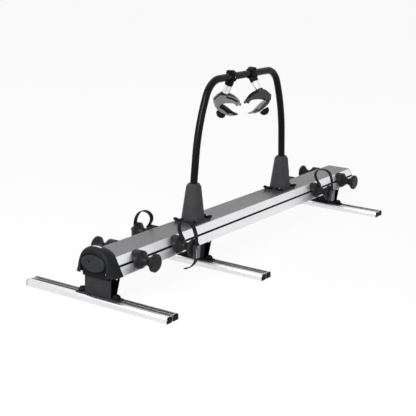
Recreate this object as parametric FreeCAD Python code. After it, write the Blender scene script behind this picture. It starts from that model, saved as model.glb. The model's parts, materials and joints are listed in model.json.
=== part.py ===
import FreeCAD, Part
import math
import os

# Slide-out bike carrier: three floor rails carry brackets with rollers, and a
# long extruded rail rolls over them, with its hoop, clamp arms and wheel holders.
# Frame: origin on the floor under the middle of the carrier, +X towards its rear
# end, +Z up. The main rail slides out towards -X. Millimetres throughout.

V = FreeCAD.Vector
X_AXIS = V(1, 0, 0)
Y_AXIS = V(0, 1, 0)
Z_AXIS = V(0, 0, 1)

# Clearances
RUNNING_FIT = 0.05
SLIDE_GAP = 0.3
SEAT_GAP = 0.3
LOOSE_GAP = 0.6
HOLE_GAP = 0.2
CUT_OVER = 1.0

# Main rail: a trapezoid extrusion
CARRIER_LENGTH = 1940.0
END_CAP_THICKNESS = 3.0
HOOD_DEPTH = 60.0
RAIL_TOP_Z = 175.0
RAIL_BOTTOM_Z = 111.0
RAIL_TOP_HALF = 58.0
RAIL_BOTTOM_HALF = 94.0
RAIL_WALL = 3.0
CHANNEL_HALF = 40.0
SLOT_HALF = 32.0
GROOVE_OPENING = 8.0
GROOVE_WIDTH = 17.0
GROOVE_DEPTH = 8.0
GROOVE_LIP = 3.0
GROOVE_WALL = 2.0
END_CAP_OVER_SHOE = 2.0
RIB_COUNT = 22
RIB_WIDTH = 2.2
RIB_DEPTH = 0.8

# Floor rails: low double-ridged extrusions that lie across the carrier
FRONT_RAIL_FROM_FRONT = 41.5
MIDDLE_RAIL_FROM_FRONT = 634.5
REAR_RAIL_FROM_REAR = 151.0
FLOOR_RAIL_SHIFT = {"front": 0.0, "middle": -23.0, "rear": 23.0}
FLOOR_RAIL_LENGTH = 640.0
FLOOR_RAIL_WIDTH = 66.0
FLOOR_RAIL_HEIGHT = 24.0
FLOOR_RAIL_WALL = 2.5
FLOOR_RAIL_ROUND = 9.0
BOLT_CHANNEL_OPENING = 8.0
BOLT_CHANNEL_WIDTH = 17.0
BOLT_CHANNEL_FLOOR_Z = 4.0
BOLT_CHANNEL_LIP_Z = 12.0
FLOOR_SCREW_RADIUS = 3.25
FLOOR_SCREW_SPACING = 440.0
PLUG_PLATE = 3.0
PLUG_DEPTH = 10.0

# Brackets, rollers and glide shoes on each floor rail
BRACKET_PLATE = 4.0
BRACKET_FRONT_X = -11.0
BRACKET_HALF_WIDTH = 59.0
BRACKET_FRONT_TOP_Z = 95.0
CHEEK_TOP_Z = 108.0
CHEEK_TOP_REAR_X = 50.0
CHEEK_BOTTOM_REAR_X = 24.0
FOOT_REACH = 36.0
FOOT_WIDTH = 38.0
FOOT_BOLT_Y = 77.0
FOOT_BOLT_RADIUS = 3.0
FOOT_BOLT_HEAD_WIDTH = 15.0
FOOT_BOLT_HEAD_HEIGHT = 4.5
FOOT_BOLT_TIP_Z = 43.0
FOOT_KNOB_RADIUS = 16.0
FOOT_KNOB_LOBES = 5
FOOT_KNOB_SCOOP = 3.5
FOOT_KNOB_HEIGHT = 12.0
ROLLER_RADIUS = 15.0
ROLLER_WAIST_RADIUS = 10.0
ROLLER_LAND_INNER = 34.0
ROLLER_WAIST_STEP = 3.0
ROLLER_OFFSET_X = 22.0
AXLE_RADIUS = 4.0
AXLE_HEAD_RADIUS = 6.5
AXLE_HEAD_THICKNESS = 2.5
TONGUE_X = 41.0
TONGUE_HALF = 20.0
TONGUE_DEPTH_IN_SHOE = 6.0
SHOE_LENGTH = 36.0
SHOE_HEIGHT = 13.0
STOP_HORN_HEIGHT = 22.0
STOP_HORN_LENGTH = 12.0
STOP_FROM_REAR_END = 39.2
STOP_HEIGHT = 34.0
STOP_LENGTH = 14.0
STOP_HALF_WIDTH = 15.0

# Front hood, its latch and the release handle
HOOD_CROWN_RISE = 29.0
HOOD_WALL = 3.0
HOOD_FRONT_ROUND = 28.0
HOOD_ROUND_STEPS = 6
HOOD_FRONT_INSET = 5.0
DOORWAY_DEPTH = 20.0
HOOD_BOTTOM_Z = 109.5
HOOD_TENON_LENGTH = 20.0
HOOD_TENON_HEIGHT = 36.0
HANDLE_HALF_WIDTH = 54.0
HANDLE_HALF_HEIGHT = 32.0
HANDLE_CENTRE_Z = 153.0
HANDLE_DEPTH = 13.0
HANDLE_ROUND = 7.0
HANDLE_GAP = 4.0
HANDLE_PIN_RADIUS = 3.0
HANDLE_PIN_Z = 170.0
HANDLE_PIN_BEHIND_FRONT = 17.0
HANDLE_EAR_Y = 36.0
HANDLE_EAR_WIDTH = 8.0
HANDLE_EAR_RADIUS = 6.5
HANDLE_OUT_SWING = 20.0
KEYHOLE_RADIUS = 5.5
KEYHOLE_DEPTH = 5.0
KEYHOLE_Y = 14.0
KEYHOLE_Z = 159.0
LATCH_BOLT_RADIUS = 5.0
LATCH_CLEAR_OF_PLATE = 1.0
LATCH_BEHIND_PLATE = 0.6
LATCH_FLANGE_RADIUS = 10.0
LATCH_FLANGE_THICKNESS = 3.0
LATCH_STEM_ABOVE_FLANGE = 3.0
PRONG_THICKNESS = 4.0
PRONG_DEPTH = 7.0
HOUSING_HALF_WIDTH = 50.0
HOUSING_FRONT_LENGTH = 7.0
HOUSING_AHEAD_OF_PLATE = 1.0
HOUSING_BOTTOM_Z = 99.0
HOUSING_TOP_Z = 132.0
HOUSING_SHELF_Z = 114.0
HOUSING_SHELF_THICKNESS = 8.0
HOUSING_SCREW_Y = 43.0
HOUSING_SCREW_Z = 114.0
HOUSING_SCREW_RADIUS = 2.5
HOUSING_SCREW_HEAD_RADIUS = 4.5
HOUSING_SCREW_LENGTH = 6.0
HOUSING_SCREW_HEAD = 2.5

# Hoop and its two bases
HOOP_CENTRE_X = 10.0
HOOP_HALF_SPREAD = 353.0
HOOP_TUBE_RADIUS = 15.0
HOOP_TUBE_WALL = 2.0
HOOP_LEAN = 5.0
HOOP_SHOULDER_LEAN = 25.0
HOOP_LEG_TOP_Z = 437.0
HOOP_LEG_RADIUS = 700.0
HOOP_CORNER_RADIUS = 100.0
BASE_TOP_Z = 330.0
BASE_BODY_BOTTOM = 78.0
BASE_BODY_TOP = 50.0
BASE_CORNER_SHARE = 0.3
BASE_FLANGE_LENGTH = 139.0
BASE_FLANGE_WIDTH = 92.0
BASE_FLANGE_THICKNESS = 7.0
BASE_SOCKET_DEPTH = 120.0
BASE_SHOULDER = 12.0
WING_NUT_X = 58.0
WING_NUT_Y = 30.0
WING_NUT_RADIUS = 7.0
WING_NUT_HEIGHT = 8.0
WING_REACH = 18.0
WING_HEIGHT = 13.0
WING_THICKNESS = 8.0
WING_TIP_LIFT = 5.0
WING_ROOT_LIFT = 1.0
STUD_RADIUS = 3.0
STUD_HEAD_WIDTH = 12.0
STUD_HEAD_THICKNESS = 4.0
STUD_TIP_ABOVE_NUT = 3.0

# Clamp arms that hang from the hoop: place along the bar, lean and swivel
ARMS = {
    "front": {"x": -87.0, "lean": 21.0, "swivel": -45.0},
    "rear": {"x": 65.0, "lean": -31.0, "swivel": 135.0},
}
CLAMP_LENGTH_X = 24.0
CLAMP_ACROSS = 46.0
CLAMP_ABOVE_BAR = 27.0
CLAMP_BELOW_BAR = 38.0
CLAMP_SPLIT = 1.0
CLAMP_BEVEL = 11.0
CLAMP_SCREW_Y = 18.8
CLAMP_SCREW_RADIUS = 2.5
CLAMP_SCREW_HEAD_RADIUS = 3.4
CLAMP_SCREW_HEAD = 3.0
CLAMP_SCREW_SEAT = 14.0
CLAMP_SCREW_LENGTH = 30.0
ARM_TUBE_RADIUS = 15.0
ARM_TUBE_WALL = 2.0
ARM_LENGTH = 78.0
ARM_SPIGOT_LENGTH = 18.0
ARM_SOCKET_IN_CLAW = 12.0
CLAW_THICKNESS = 40.0
CLAW_COLLAR_RADIUS = 19.0
JAW_PIVOT_U = -20.0
JAW_PIVOT_V = -50.0
JAW_KNUCKLE_RADIUS = 9.0
JAW_TONGUE_THICKNESS = 20.0
JAW_PIN_RADIUS = 4.0
JAW_THICKNESS = 36.0
EAR_WALL = 3.0
KNUCKLE_CLEARANCE = 1.5
CLAW_BACK = (-38.0, -41.0)
CLAW_TOP_LINE = [(-25.0, -14.0), (-9.0, -2.5), (19.0, 1.0), (48.0, -4.0)]
CLAW_TIP_TOP = (76.0, -20.0)
CLAW_TIP_LOW = (76.0, -29.0)
CLAW_TOOTH_GAP = (65.0, -27.0)
CLAW_TOOTH = (60.0, -35.0)
CLAW_UNDERSIDE = [(42.0, -26.0), (10.0, -34.0)]
CLAW_ROOT = (-5.0, -43.0)
JAW_HEEL = (-27.0, -59.0)
JAW_LOWER_LINE = [(-12.0, -71.0), (6.0, -78.0), (33.0, -84.0), (60.0, -79.0)]
JAW_TIP = (80.0, -68.0)
JAW_UPPER_LINE = [(62.0, -68.0), (35.0, -60.0)]
JAW_ROOT = (-6.0, -54.0)
CLAW_KNOB_RADIUS = 21.0
CLAW_KNOB_HEIGHT = 24.0
CLAW_KNOB_LOBES = 7
CLAW_KNOB_SCOOP = 3.0
CLAW_KNOB_U = 14.0
CLAW_KNOB_V = -84.0
CLAW_KNOB_TILT = 10.0
CLAW_SPINDLE_RADIUS = 5.0
CLAW_SPINDLE_LENGTH = 10.0

# Wheel holders that slide along the side grooves. Side -1 is the right-hand side
# seen from the rear end looking forward along the rail.
HOLDER_Z = 143.0
PLAIN_FROM_END = {
    "front_right": 170.0,
    "front_left": 212.0,
    "rear_right": 138.0,
    "rear_left": 103.0,
}
STRAP_FROM_END = {
    "front_right": 410.0,
    "front_left": 464.0,
    "rear_right": 406.0,
    "rear_left": 368.0,
}
STRAP_DRAWN_IN = {"front_right": 0.0, "front_left": 14.0, "rear_right": 0.0, "rear_left": 14.0}
LONG_TAIL_STRAP = "front_right"
DRUM_RADIUS = 35.0
DRUM_INNER_OUT = 60.0
DRUM_SHOULDER_OUT = 92.0
NECK_OUT = 119.0
NECK_RADIUS = 14.0
SPOOL_FACE_SAG = 3.0
FLANGE_START_OUT = 146.0
FLANGE_END_OUT = 158.0
FLANGE_RADIUS = 34.0
FLANGE_LOBES = 8
FLANGE_LOBE_DEPTH = 2.5
FLANGE_BEVEL = 4.0
KEY_LENGTH = 30.0
KEY_IN_DRUM = 2.0
HOLDER_BOLT_RADIUS = 4.0
STRAP_WIDTH = 20.0
STRAP_THICKNESS = 3.0
STRAP_CORNER_RADIUS = 26.0
STRAP_CORNER_SHARE = 0.45
STRAP_START = (104.0, 168.0)
STRAP_INNER_KNEE = (86.0, 196.0)
STRAP_LOOP_TOP = [(88.0, 232.0), (112.0, 247.0), (146.0, 247.0), (163.0, 206.0)]
STRAP_END_Z = 103.0
STRAP_TAIL = [(158.0, 82.0), (136.0, 66.0), (116.0, 61.0)]
BUCKLE_FRAME_OUT = 163.0
BUCKLE_BOTTOM_Z = 108.0
BUCKLE_TOP_Z = 160.0
BUCKLE_EAR_THICKNESS = 3.0
BUCKLE_EAR_RADIUS = 5.0
LEVER_PIN_RADIUS = 2.0
LEVER_HALF_DEPTH = 5.0
LEVER_PIVOT_Z = 149.0
LEVER_BOTTOM_Z = 107.0

# Worked-out places
CARRIER_REAR_X = CARRIER_LENGTH / 2
CARRIER_FRONT_X = -CARRIER_LENGTH / 2
RAIL_REAR_X = CARRIER_REAR_X - END_CAP_THICKNESS
RAIL_FRONT_X = CARRIER_FRONT_X + HOOD_DEPTH
FLOOR_RAIL_X = {
    "front": CARRIER_FRONT_X + FRONT_RAIL_FROM_FRONT,
    "middle": CARRIER_FRONT_X + MIDDLE_RAIL_FROM_FRONT,
    "rear": CARRIER_REAR_X - REAR_RAIL_FROM_REAR,
}
RAIL_HEIGHT = RAIL_TOP_Z - RAIL_BOTTOM_Z
SIDE_LENGTH = math.hypot(RAIL_BOTTOM_HALF - RAIL_TOP_HALF, RAIL_HEIGHT)
SIDE_NORMAL_Y = RAIL_HEIGHT / SIDE_LENGTH
SIDE_NORMAL_Z = (RAIL_BOTTOM_HALF - RAIL_TOP_HALF) / SIDE_LENGTH
LIP_TOP_Z = RAIL_BOTTOM_Z + RAIL_WALL
ROLLER_Z = RAIL_BOTTOM_Z - SLIDE_GAP - ROLLER_RADIUS
SHOE_BOTTOM_Z = LIP_TOP_Z + SLIDE_GAP
SHOE_TOP_Z = SHOE_BOTTOM_Z + SHOE_HEIGHT


def side_y(z):
    """Half-width of the rail's slanted side at height z."""
    share = (RAIL_TOP_Z - z) / RAIL_HEIGHT
    return RAIL_TOP_HALF + (RAIL_BOTTOM_HALF - RAIL_TOP_HALF) * share


def block(x0, x1, y0, y1, z0, z1):
    """Box between two corners."""
    return Part.makeBox(x1 - x0, y1 - y0, z1 - z0, V(x0, y0, z0))


def rod(radius, length, start, direction):
    """Round bar from a start point."""
    return Part.makeCylinder(radius, length, start, direction)


def prism(points, travel):
    """Polygon pushed along a vector."""
    wire = Part.makePolygon(points + [points[0]])
    return Part.Face(wire).extrude(travel)


def prism_along_x(outline, x0, x1):
    """Outline of (y, z) points pushed from x0 to x1."""
    return prism([V(x0, y, z) for y, z in outline], V(x1 - x0, 0, 0))


def mirrored_y(shape):
    """Copy on the other side of the XZ plane."""
    return shape.mirror(V(0, 0, 0), Y_AXIS)


def joined(shapes):
    """One solid from several that touch or overlap."""
    first = shapes[0]
    return first.fuse(shapes[1:]).removeSplitter()


def filleted(shape, radius, wanted):
    """Round the edges that the test picks."""
    edges = [edge for edge in shape.Edges if wanted(edge)]
    return shape.makeFillet(radius, edges)


def group(shapes):
    """Several separate solids in one node."""
    return Part.makeCompound(shapes)


def lobed_knob(radius, height, lobes, depth, base, direction):
    """Hand knob whose rim has rounded lobes between shallow scoops."""
    body = rod(radius, height, V(0, 0, 0), Z_AXIS)
    scoop_radius = radius * math.pi / lobes / 2
    scoop_place = radius + scoop_radius - depth
    for index in range(lobes):
        angle = 2 * math.pi * (index + 0.5) / lobes
        centre = V(scoop_place * math.cos(angle), scoop_place * math.sin(angle), 0)
        body = body.cut(rod(scoop_radius, height, centre, Z_AXIS))
    turn = FreeCAD.Rotation(Z_AXIS, direction)
    body.Placement = FreeCAD.Placement(base, turn)
    return body


def groove_outline():
    """Side groove's mouth and channel as two (y, z) outlines on the +Y side."""
    mouth = side_box(GROOVE_OPENING / 2, -CUT_OVER, GROOVE_LIP)
    channel = side_box(GROOVE_WIDTH / 2, GROOVE_LIP, GROOVE_LIP + GROOVE_DEPTH)
    return mouth, channel


def side_box(half_height, depth_start, depth_end):
    """Rectangle square to the slanted side, centred on the groove's line."""
    along_y = SIDE_NORMAL_Z
    along_z = -SIDE_NORMAL_Y
    corners = []
    for along, depth in ((-half_height, depth_start), (half_height, depth_start),
                         (half_height, depth_end), (-half_height, depth_end)):
        y = side_y(HOLDER_Z) + along * along_y - depth * SIDE_NORMAL_Y
        z = HOLDER_Z + along * along_z - depth * SIDE_NORMAL_Z
        corners.append((y, z))
    return corners


def rail_outline():
    """Outer section of the main rail."""
    return [(-RAIL_TOP_HALF, RAIL_TOP_Z), (RAIL_TOP_HALF, RAIL_TOP_Z),
            (RAIL_BOTTOM_HALF, RAIL_BOTTOM_Z), (-RAIL_BOTTOM_HALF, RAIL_BOTTOM_Z)]


def side_chamber():
    """Hollow between the central channel and the slanted wall, +Y side."""
    slant = RAIL_WALL / SIDE_NORMAL_Y
    web = CHANNEL_HALF + RAIL_WALL
    top = RAIL_TOP_Z - RAIL_WALL
    bottom = LIP_TOP_Z
    return [(web, top), (side_y(top) - slant, top),
            (side_y(bottom) - slant, bottom), (web, bottom)]


def make_main_rail():
    """Hollow extrusion with a central channel, a bottom slot and two side grooves."""
    x0, x1 = RAIL_FRONT_X, RAIL_REAR_X
    rail = prism_along_x(rail_outline(), x0, x1)
    channel_top = RAIL_TOP_Z - RAIL_WALL
    rail = rail.cut(block(x0, x1, -CHANNEL_HALF, CHANNEL_HALF, LIP_TOP_Z, channel_top))
    rail = rail.cut(block(x0, x1, -SLOT_HALF, SLOT_HALF, RAIL_BOTTOM_Z, LIP_TOP_Z))
    mouth, channel = groove_outline()
    jacket = side_box(GROOVE_WIDTH / 2 + GROOVE_WALL, -CUT_OVER,
                      GROOVE_LIP + GROOVE_DEPTH + GROOVE_WALL)
    chamber = prism_along_x(side_chamber(), x0, x1).cut(prism_along_x(jacket, x0, x1))
    grooves = prism_along_x(mouth, x0, x1).fuse(prism_along_x(channel, x0, x1))
    for hollow in (chamber, grooves):
        rail = rail.cut(hollow).cut(mirrored_y(hollow))
    rib_pitch = 2 * (RAIL_TOP_HALF - RAIL_WALL) / RIB_COUNT
    for index in range(RIB_COUNT):
        centre = -RAIL_TOP_HALF + RAIL_WALL + rib_pitch * (index + 0.5)
        rail = rail.cut(block(x0, x1, centre - RIB_WIDTH / 2, centre + RIB_WIDTH / 2,
                              RAIL_TOP_Z - RIB_DEPTH, RAIL_TOP_Z))
    for x, y in stud_places():
        rail = rail.cut(rod(STUD_RADIUS + HOLE_GAP, RAIL_WALL + CUT_OVER,
                            V(x, y, channel_top - CUT_OVER / 2), Z_AXIS))
    return rail


def make_rear_end_cap():
    """End plate, cut away where the glide shoes pass when the rail slides."""
    cap = prism_along_x(rail_outline(), RAIL_REAR_X, CARRIER_REAR_X)
    pass_top = SHOE_TOP_Z + END_CAP_OVER_SHOE
    return cap.cut(block(RAIL_REAR_X, CARRIER_REAR_X, -CHANNEL_HALF, CHANNEL_HALF,
                         RAIL_BOTTOM_Z, pass_top))


def shoe_centre_x(place):
    """Middle of a bracket's glide shoe."""
    return FLOOR_RAIL_X[place] + TONGUE_X + BRACKET_PLATE / 2


def travel_stop_x():
    """Front face of the travel stop, near the rail's rear end."""
    return RAIL_REAR_X - STOP_FROM_REAR_END - STOP_LENGTH


def make_travel_stop():
    """Block under the channel's roof that meets the middle shoe's horn."""
    roof = RAIL_TOP_Z - RAIL_WALL
    x0 = travel_stop_x()
    return block(x0, x0 + STOP_LENGTH, -STOP_HALF_WIDTH, STOP_HALF_WIDTH,
                 roof - STOP_HEIGHT, roof)


def slide_travel():
    """How far the rail rolls out before its stop is a running gap from the horn."""
    horn_rear = shoe_centre_x("middle") + STOP_HORN_LENGTH / 2
    return travel_stop_x() - horn_rear - SLIDE_GAP


def floor_rail_section():
    """Twin rounded ridges with a bolt channel between them, as a face in XZ."""
    half = FLOOR_RAIL_WIDTH / 2
    y0 = -FLOOR_RAIL_LENGTH / 2
    body = block(-half, half, y0, y0 + FLOOR_RAIL_LENGTH, 0, FLOOR_RAIL_HEIGHT)

    def top_corner(edge):
        box = edge.BoundBox
        return box.YLength > FLOOR_RAIL_LENGTH / 2 and box.ZMin > FLOOR_RAIL_HEIGHT / 2

    body = filleted(body, FLOOR_RAIL_ROUND, top_corner)
    y1 = -y0
    mouth = BOLT_CHANNEL_OPENING / 2
    body = body.cut(block(-mouth, mouth, y0, y1, BOLT_CHANNEL_FLOOR_Z, FLOOR_RAIL_HEIGHT))
    wide = BOLT_CHANNEL_WIDTH / 2
    body = body.cut(block(-wide, wide, y0, y1, BOLT_CHANNEL_FLOOR_Z, BOLT_CHANNEL_LIP_Z))
    for side in (-1, 1):
        near, far = sorted((side * ridge_chamber()[0], side * ridge_chamber()[1]))
        body = body.cut(block(near, far, y0, y1, FLOOR_RAIL_WALL, ridge_chamber()[2]))
    return body


def ridge_chamber():
    """Inner and outer x and the top z of the hollow in each ridge."""
    inner = BOLT_CHANNEL_WIDTH / 2 + FLOOR_RAIL_WALL
    outer = FLOOR_RAIL_WIDTH / 2 - FLOOR_RAIL_WALL
    top = FLOOR_RAIL_HEIGHT - FLOOR_RAIL_ROUND
    return inner, outer, top


def make_floor_rail(place):
    """One floor rail with its two screw holes through the bolt channel's floor."""
    rail = floor_rail_section()
    for side in (-1, 1):
        hole = rod(FLOOR_SCREW_RADIUS, BOLT_CHANNEL_FLOOR_Z,
                   V(0, side * FLOOR_SCREW_SPACING / 2, 0), Z_AXIS)
        rail = rail.cut(hole)
    rail.translate(V(FLOOR_RAIL_X[place], FLOOR_RAIL_SHIFT[place], 0))
    return rail


def make_end_plug(x, y, ridge, end):
    """Rounded plug whose tenon sits in a ridge's hollow."""
    inner, outer, top = ridge_chamber()
    low = BOLT_CHANNEL_OPENING / 2
    high = FLOOR_RAIL_WIDTH / 2
    plate = block(low, high, 0, PLUG_PLATE, 0, FLOOR_RAIL_HEIGHT)

    def outer_top(edge):
        box = edge.BoundBox
        return box.XMin > high - CUT_OVER and box.ZMin > FLOOR_RAIL_HEIGHT - CUT_OVER

    plate = filleted(plate, FLOOR_RAIL_ROUND, outer_top)
    tenon = block(inner + HOLE_GAP, outer - HOLE_GAP, -PLUG_DEPTH, 0,
                  FLOOR_RAIL_WALL + HOLE_GAP, top - HOLE_GAP)
    plug = joined([plate, tenon])
    if ridge < 0:
        plug = plug.mirror(V(0, 0, 0), X_AXIS)
    if end < 0:
        plug = plug.mirror(V(0, 0, 0), Y_AXIS)
    plug.translate(V(x, y + end * FLOOR_RAIL_LENGTH / 2, 0))
    return plug


def make_end_plugs():
    """Two plugs at each end of each floor rail."""
    plugs = []
    for place, x in FLOOR_RAIL_X.items():
        for end in (-1, 1):
            for ridge in (-1, 1):
                plugs.append(make_end_plug(x, FLOOR_RAIL_SHIFT[place], ridge, end))
    return group(plugs)


def make_bracket(place):
    """Bent plate: front wall, two slanted cheeks, base, feet and a rear tongue."""
    x = FLOOR_RAIL_X[place]
    base_z = FLOOR_RAIL_HEIGHT
    front = x + BRACKET_FRONT_X
    half = BRACKET_HALF_WIDTH
    inside = half - BRACKET_PLATE
    wall = block(front, front + BRACKET_PLATE, -half, half, base_z, BRACKET_FRONT_TOP_Z)
    cheek_outline = [V(front, -half, base_z),
                     V(x + CHEEK_BOTTOM_REAR_X, -half, base_z),
                     V(x + CHEEK_TOP_REAR_X, -half, CHEEK_TOP_Z),
                     V(x, -half, CHEEK_TOP_Z),
                     V(front, -half, BRACKET_FRONT_TOP_Z)]
    cheek = prism(cheek_outline, V(0, BRACKET_PLATE, 0))
    base = block(front, x + CHEEK_BOTTOM_REAR_X, -half, half,
                 base_z, base_z + BRACKET_PLATE)
    foot_reach = half + FOOT_REACH
    feet = block(x - FOOT_WIDTH / 2, x + FOOT_WIDTH / 2, -foot_reach, foot_reach,
                 base_z, base_z + BRACKET_PLATE)
    tongue_x = x + TONGUE_X
    tongue_floor = block(x, tongue_x + BRACKET_PLATE, -TONGUE_HALF, TONGUE_HALF,
                         base_z, base_z + BRACKET_PLATE)
    tongue = block(tongue_x, tongue_x + BRACKET_PLATE, -TONGUE_HALF, TONGUE_HALF,
                   base_z, SHOE_BOTTOM_Z + TONGUE_DEPTH_IN_SHOE)
    bracket = joined([wall, cheek, mirrored_y(cheek), base, feet, tongue_floor, tongue])
    axle_hole = rod(AXLE_RADIUS + RUNNING_FIT, 2 * (half + CUT_OVER),
                    V(x + ROLLER_OFFSET_X, -half - CUT_OVER, ROLLER_Z), Y_AXIS)
    bracket = bracket.cut(axle_hole)
    for side in (-1, 1):
        hole = rod(FOOT_BOLT_RADIUS + HOLE_GAP, BRACKET_PLATE,
                   V(x, side * FOOT_BOLT_Y, base_z), Z_AXIS)
        bracket = bracket.cut(hole)
    return bracket


def foot_places():
    """Bolt places on the six bracket feet."""
    return [(x, side * FOOT_BOLT_Y) for x in FLOOR_RAIL_X.values() for side in (-1, 1)]


def make_foot_bolts():
    """Square-headed bolts that slide in the floor rails' bolt channels."""
    bolts = []
    head_half = FOOT_BOLT_HEAD_WIDTH / 2
    head_top = BOLT_CHANNEL_LIP_Z
    head_bottom = head_top - FOOT_BOLT_HEAD_HEIGHT
    for x, y in foot_places():
        head = block(x - head_half, x + head_half, y - head_half, y + head_half,
                     head_bottom, head_top)
        shank = rod(FOOT_BOLT_RADIUS, FOOT_BOLT_TIP_Z - head_top, V(x, y, head_top), Z_AXIS)
        bolts.append(joined([head, shank]))
    return group(bolts)


def make_foot_knobs():
    """Lobed hand knobs that clamp the bracket feet."""
    knobs = []
    base_z = FLOOR_RAIL_HEIGHT + BRACKET_PLATE
    for x, y in foot_places():
        knob = lobed_knob(FOOT_KNOB_RADIUS, FOOT_KNOB_HEIGHT, FOOT_KNOB_LOBES, FOOT_KNOB_SCOOP,
                          V(x, y, base_z), Z_AXIS)
        knobs.append(knob.cut(rod(FOOT_BOLT_RADIUS + HOLE_GAP, FOOT_KNOB_HEIGHT,
                                  V(x, y, base_z), Z_AXIS)))
    return group(knobs)


def make_roller(place):
    """Roller with two wide lands that run under the rail's bottom lips."""
    x = FLOOR_RAIL_X[place] + ROLLER_OFFSET_X
    end = BRACKET_HALF_WIDTH - BRACKET_PLATE - LOOSE_GAP
    bore = AXLE_RADIUS + RUNNING_FIT
    profile = [(bore, -end), (ROLLER_RADIUS, -end), (ROLLER_RADIUS, -ROLLER_LAND_INNER),
               (ROLLER_WAIST_RADIUS, -ROLLER_LAND_INNER + ROLLER_WAIST_STEP),
               (ROLLER_WAIST_RADIUS, ROLLER_LAND_INNER - ROLLER_WAIST_STEP),
               (ROLLER_RADIUS, ROLLER_LAND_INNER), (ROLLER_RADIUS, end), (bore, end)]
    points = [V(x + radius, y, ROLLER_Z) for radius, y in profile]
    face = Part.Face(Part.makePolygon(points + [points[0]]))
    return face.revolve(V(x, 0, ROLLER_Z), Y_AXIS, 360)


def make_axles():
    """Headed pins across the bracket cheeks, one under each roller."""
    pins = []
    half = BRACKET_HALF_WIDTH
    for x in FLOOR_RAIL_X.values():
        centre_x = x + ROLLER_OFFSET_X
        pin = rod(AXLE_RADIUS, 2 * half, V(centre_x, -half, ROLLER_Z), Y_AXIS)
        heads = [rod(AXLE_HEAD_RADIUS, AXLE_HEAD_THICKNESS, V(centre_x, y, ROLLER_Z), Y_AXIS)
                 for y in (half, -half - AXLE_HEAD_THICKNESS)]
        pins.append(joined([pin] + heads))
    return group(pins)


def make_glide_shoes():
    """Plastic shoes on the tongues; the middle one has a horn for the stop."""
    shoes = []
    half_width = CHANNEL_HALF - LOOSE_GAP
    for place in FLOOR_RAIL_X:
        centre_x = shoe_centre_x(place)
        shoe = block(centre_x - SHOE_LENGTH / 2, centre_x + SHOE_LENGTH / 2,
                     -half_width, half_width, SHOE_BOTTOM_Z, SHOE_TOP_Z)
        pocket_half = BRACKET_PLATE / 2
        shoe = shoe.cut(block(centre_x - pocket_half, centre_x + pocket_half,
                              -TONGUE_HALF, TONGUE_HALF,
                              SHOE_BOTTOM_Z, SHOE_BOTTOM_Z + TONGUE_DEPTH_IN_SHOE))
        if place == "middle":
            horn = block(centre_x - STOP_HORN_LENGTH / 2, centre_x + STOP_HORN_LENGTH / 2,
                         -STOP_HALF_WIDTH, STOP_HALF_WIDTH,
                         SHOE_TOP_Z, SHOE_TOP_Z + STOP_HORN_HEIGHT)
            shoe = joined([shoe, horn])
        shoes.append(shoe)
    return group(shoes)


def hood_corner(inset):
    """Where the arch meets the slanted side, both moved inward by the inset."""
    arch_radius = (RAIL_TOP_HALF ** 2 + HOOD_CROWN_RISE ** 2) / (2 * HOOD_CROWN_RISE)
    centre_drop = arch_radius - HOOD_CROWN_RISE
    end_y = RAIL_TOP_HALF / arch_radius
    end_z = centre_drop / arch_radius
    share = inset / (1 + end_y * SIDE_NORMAL_Y + end_z * SIDE_NORMAL_Z)
    return (RAIL_TOP_HALF - share * (end_y + SIDE_NORMAL_Y),
            RAIL_TOP_Z - share * (end_z + SIDE_NORMAL_Z))


def hood_wire(x, inset, bottom):
    """Arch over the rail's section, moved inward by the inset."""
    corner_y, corner_z = hood_corner(inset)
    low_half = side_y(bottom) - inset / SIDE_NORMAL_Y
    crown = V(x, 0, RAIL_TOP_Z + HOOD_CROWN_RISE - inset)
    arch = Part.Arc(V(x, -corner_y, corner_z), crown, V(x, corner_y, corner_z)).toShape()
    corners = [V(x, corner_y, corner_z), V(x, low_half, bottom),
               V(x, -low_half, bottom), V(x, -corner_y, corner_z)]
    sides = [Part.LineSegment(corners[i], corners[i + 1]).toShape() for i in range(3)]
    return Part.Wire([arch] + sides)


def hood_solid(back_x, wall, bottom):
    """Arch pushed forward and rounded over at the front, its wall's depth inside."""
    centre_x = hood_front_x() + HOOD_FRONT_ROUND
    radius = HOOD_FRONT_ROUND - wall
    straight = Part.Face(hood_wire(back_x, wall, bottom)).extrude(V(centre_x - back_x, 0, 0))
    sections = []
    for step in range(HOOD_ROUND_STEPS + 1):
        angle = math.pi / 2 * step / HOOD_ROUND_STEPS
        sections.append(hood_wire(centre_x - radius * math.sin(angle),
                                  HOOD_FRONT_ROUND - radius * math.cos(angle), bottom))
    return joined([straight, Part.makeLoft(sections, True, True)])


def hood_front_x():
    """Flat front of the hood, a little behind the handle's face."""
    return CARRIER_FRONT_X + HOOD_FRONT_INSET


def handle_disc(half_width, half_height, x0, x1):
    """Flat oval centred on the handle."""
    oval = Part.Ellipse(V(x0, half_width, HANDLE_CENTRE_Z),
                        V(x0, 0, HANDLE_CENTRE_Z + half_height),
                        V(x0, 0, HANDLE_CENTRE_Z))
    return Part.Face(Part.Wire([oval.toShape()])).extrude(V(x1 - x0, 0, 0))


def handle_pin_x():
    """Hinge line of the handle."""
    return CARRIER_FRONT_X + HANDLE_PIN_BEHIND_FRONT


def hood_half_width(x, z, wall):
    """Half-width of the hood's rounded front, outside or the wall's depth inside."""
    radius = HOOD_FRONT_ROUND - wall
    forward = hood_front_x() + HOOD_FRONT_ROUND - x
    inset = HOOD_FRONT_ROUND - math.sqrt(radius ** 2 - forward ** 2)
    return side_y(z) - inset / SIDE_NORMAL_Y


def handle_pin_half():
    """Half the hinge pin's length: it ends midway through the hood's walls."""
    place = (handle_pin_x(), HANDLE_PIN_Z)
    return (hood_half_width(*place, 0.0) + hood_half_width(*place, HOOD_WALL)) / 2


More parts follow.
